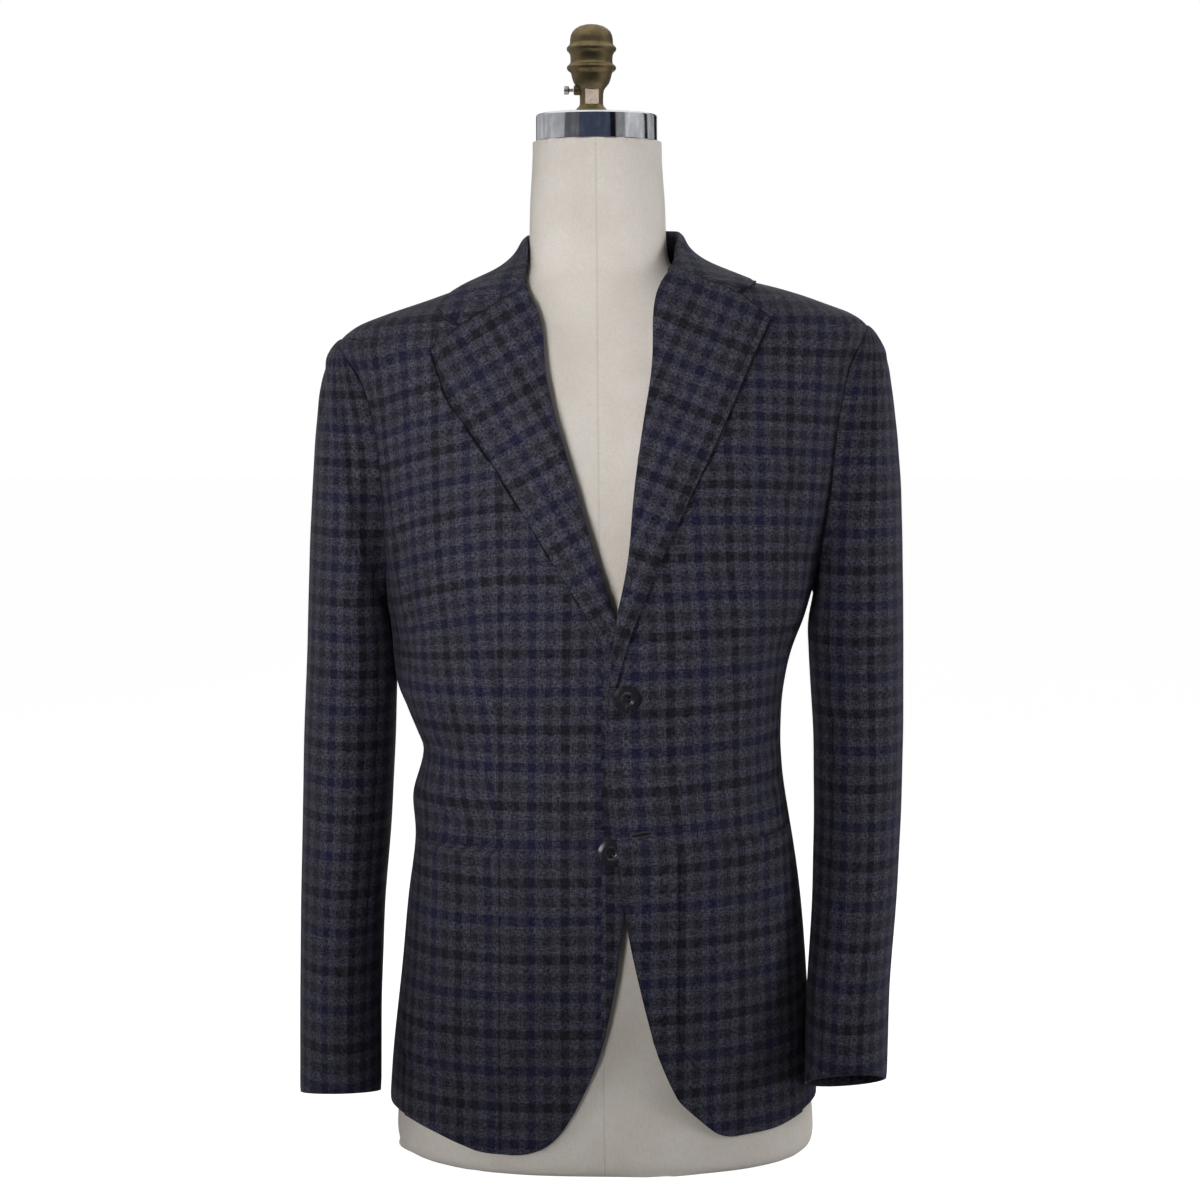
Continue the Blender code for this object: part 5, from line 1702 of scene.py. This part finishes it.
@dataclass(frozen=True)
class Studio:
    """A pale floor, soft light and the photograph's level camera."""

    distance: float = 2.2
    eye_height: float = 0.659
    frame_pixels: float = 1200.0
    centre_column: float = 602.0
    eye_row: float = 358.0
    pixel: float = 0.85
    ambient: float = 0.12
    # What the metal mirrors behind the camera: degrees round from straight ahead, and tones.
    reflections: tuple = (
        (-180, -160, (0.02, 0.02, 0.025)),
        (-160, -64, (0.40, 0.40, 0.41)),
        (-64, -34, (0.11, 0.11, 0.12)),
        (-34, 25, (0.045, 0.055, 0.085)),
        (25, 36, (0.006, 0.006, 0.008)),
        (36, 55, (0.22, 0.22, 0.23)),
        (55, 101, (0.50, 0.50, 0.51)),
        (101, 111, (0.01, 0.01, 0.012)),
        (111, 138, (0.32, 0.32, 0.33)),
        (138, 157, (0.012, 0.012, 0.014)),
    )

    # Each softbox's name, place, aim, size, power in watts, tint, and spread in degrees.
    softboxes: tuple = (
        ("key", (-0.62, -2.0, 0.80), (-0.11, -0.1, 0.56), (0.5, 0.5), 1.45, (1.0, 0.99, 0.98), 38),
        ("left", (-1.7, -0.9, 0.62), (-0.22, 0, 0.36), (0.5, 1.2), 1.95, (0.98, 0.99, 1.0), 90),
        ("glint", (-0.62, -1.6, 0.50), (0.0, -0.1, 0.40), (0.55, 0.40), 0.14, (0.96, 0.97, 1.0), 30),
        ("neck", (-0.5, -1.5, 1.25), (0.0, 0, 0.82), (0.5, 0.4), 0.05, (1.0, 0.99, 0.98), 22),
        ("base", (-0.15, -1.0, 0.05), (0.0, 0, -0.01), (0.8, 0.05), 0.015, (1.0, 0.98, 0.96), 12),
        ("side", (2.0, -0.5, 0.5), (0.24, 0, 0.30), (0.5, 1.5), 6.0, (0.97, 0.98, 1.0), 100),
        ("rim", (1.5, 1.2, 0.9), (0.1, 0, 0.45), (0.6, 1.6), 5.0, (1, 1, 1), 120),
        ("top", (-0.2, 0.5, 2.2), (0, 0, 0.6), (1.4, 1.0), 0.8, (1, 1, 1), 160),
    )

    def camera(self) -> None:
        """The camera, level in front of the form, shifted down to take it all in."""
        data = bpy.data.cameras.new("camera")
        data.sensor_width = 36.0
        data.lens = data.sensor_width * self.distance / (self.frame_pixels * self.pixel * MM)
        data.shift_x = (self.frame_pixels / 2 - self.centre_column) / self.frame_pixels
        data.shift_y = -(self.frame_pixels / 2 - self.eye_row) / self.frame_pixels
        data.clip_end = 60
        camera = bpy.data.objects.new("camera", data)
        camera.location = (0, -self.distance, self.eye_height)
        camera.rotation_euler = (math.radians(90), 0, 0)
        bpy.context.scene.collection.objects.link(camera)
        bpy.context.scene.camera = camera

    def floor(self) -> None:
        """A wide pale floor."""
        floor = Bench.basic("plane", "floor", size=24)
        shader = Shader("pale_floor")
        shader.set(Base_Color=(0.9, 0.9, 0.9), Roughness=1.0, Specular_IOR_Level=0.0)
        shader.set(Emission_Color=(1.0, 1.0, 1.0), Emission_Strength=0.88)
        floor.data.materials.append(shader.material)
        floor.visible_diffuse = floor.visible_glossy = False

    @staticmethod
    def softbox(
        name: str, place: tuple, aim: tuple, size: Place, power: float, tint: tuple, spread: float
    ) -> None:
        """An area light that faces a point; only the glint is mirrored, and it lights nothing else.

        Args:
            name: the light's name.
            place: where it stands, in metres.
            aim: the point that it faces.
            size: its width and height in metres.
            power: its power in watts.
            tint: its colour.
            spread: how wide its beam is, in degrees.
        """
        data = bpy.data.lights.new(name, "AREA")
        data.shape = "RECTANGLE"
        data.spread = math.radians(spread)
        data.size, data.size_y = size
        data.energy = power
        data.color = tint
        light = bpy.data.objects.new(name, data)
        light.visible_glossy = name == "glint"
        light.visible_diffuse = name != "glint"
        light.location = place
        light.rotation_euler = (Vector(aim) - Vector(place)).to_track_quat("-Z", "Y").to_euler()
        bpy.context.scene.collection.objects.link(light)

    @staticmethod
    def card(name: str, start: float, end: float, tone: tuple) -> None:
        """A curved card round the stage, seen only in the metal.

        Args:
            name: the card's name.
            start: where it begins, in degrees round from straight ahead, +X positive.
            end: where it ends.
            tone: its colour.
        """
        ring = {"vertices": 360, "radius": 3.6, "depth": 7.0, "end_fill_type": "NOTHING"}
        card = Bench.basic("cylinder", name, **ring)
        Bench.edit(card)
        Bench.close()
        for vertex in card.data.vertices:
            turn = math.degrees(math.atan2(vertex.co.x, -vertex.co.y))
            vertex.select = not start - 0.1 <= turn <= end + 0.1
        bpy.ops.object.mode_set(mode="EDIT")
        bpy.ops.mesh.delete(type="VERT")
        Bench.close()
        card.data.transform(Matrix.Translation((0, 0, -0.6)))
        shader = Shader(name)
        shader.set(Base_Color=(0.0, 0.0, 0.0), Specular_IOR_Level=0.0, Emission_Strength=1.0)
        clouds = shader.noise(shader.place(), 1.6, 3.0)
        brighter = tuple(1.4 * part for part in tone)
        shader.set(Emission_Color=shader.mix(clouds.ramp(0.42, 0.68), tone, brighter))
        card.data.materials.append(shader.material)
        card.visible_camera = card.visible_diffuse = card.visible_shadow = False
        card.visible_transmission = False

    def light(self) -> None:
        """A pale world, which lights the pieces less than it shows, and the softboxes."""
        world = bpy.data.worlds.new("studio")
        bpy.context.scene.world = world
        world.use_nodes = True
        tree = world.node_tree
        background = tree.nodes["Background"]
        background.inputs["Color"].default_value = (1.0, 1.0, 1.0, 1)
        rays = tree.nodes.new("ShaderNodeLightPath")
        strength = tree.nodes.new("ShaderNodeMapRange")
        strength.inputs["To Min"].default_value = 1.0
        strength.inputs["To Max"].default_value = self.ambient
        tree.links.new(rays.outputs["Is Diffuse Ray"], strength.inputs["Value"])
        tree.links.new(strength.outputs["Result"], background.inputs["Strength"])
        for box in self.softboxes:
            self.softbox(*box)

    def set_up(self) -> None:
        """Makes camera, floor and light, and the plain view of colours."""
        self.camera()
        self.floor()
        self.light()
        for number, (start, end, tone) in enumerate(self.reflections):
            self.card(f"card_{number}", start, end, tone)
        bpy.context.scene.view_settings.view_transform = "Standard"


def main() -> None:
    """Builds the studio and every piece, in order."""
    logging.basicConfig(level=logging.INFO, format="%(name)s: %(message)s")
    Studio().set_up()
    finishes = Finishes.mixed()
    maker = ClothMaker(finishes)
    bodice = Bodice(maker)
    bodice.make()
    for side in Side:
        Sleeve(maker, side).make(bodice.rims)
    Button(finishes, "button_fastened", 8.0).make()
    Button(finishes, "button_lower", 30.0).make()
    front = bodice.pieces["front_left"]
    Buttonhole(finishes, "buttonhole_lower", (31.5, 279.5), 17.5, 8.0).make(front)
    Buttonhole(finishes, "buttonhole_fastened", (20.0, 388.0), 16.0, 8.0).make(front)
    lapel = bodice.pieces["lapel_left"]
    Buttonhole(finishes, "buttonhole_lapel", (29.0, 503.0), 13.0, -18.0, dark=True).make(lapel)
    DressForm(finishes).make()


if __name__ == "__main__":
    main()
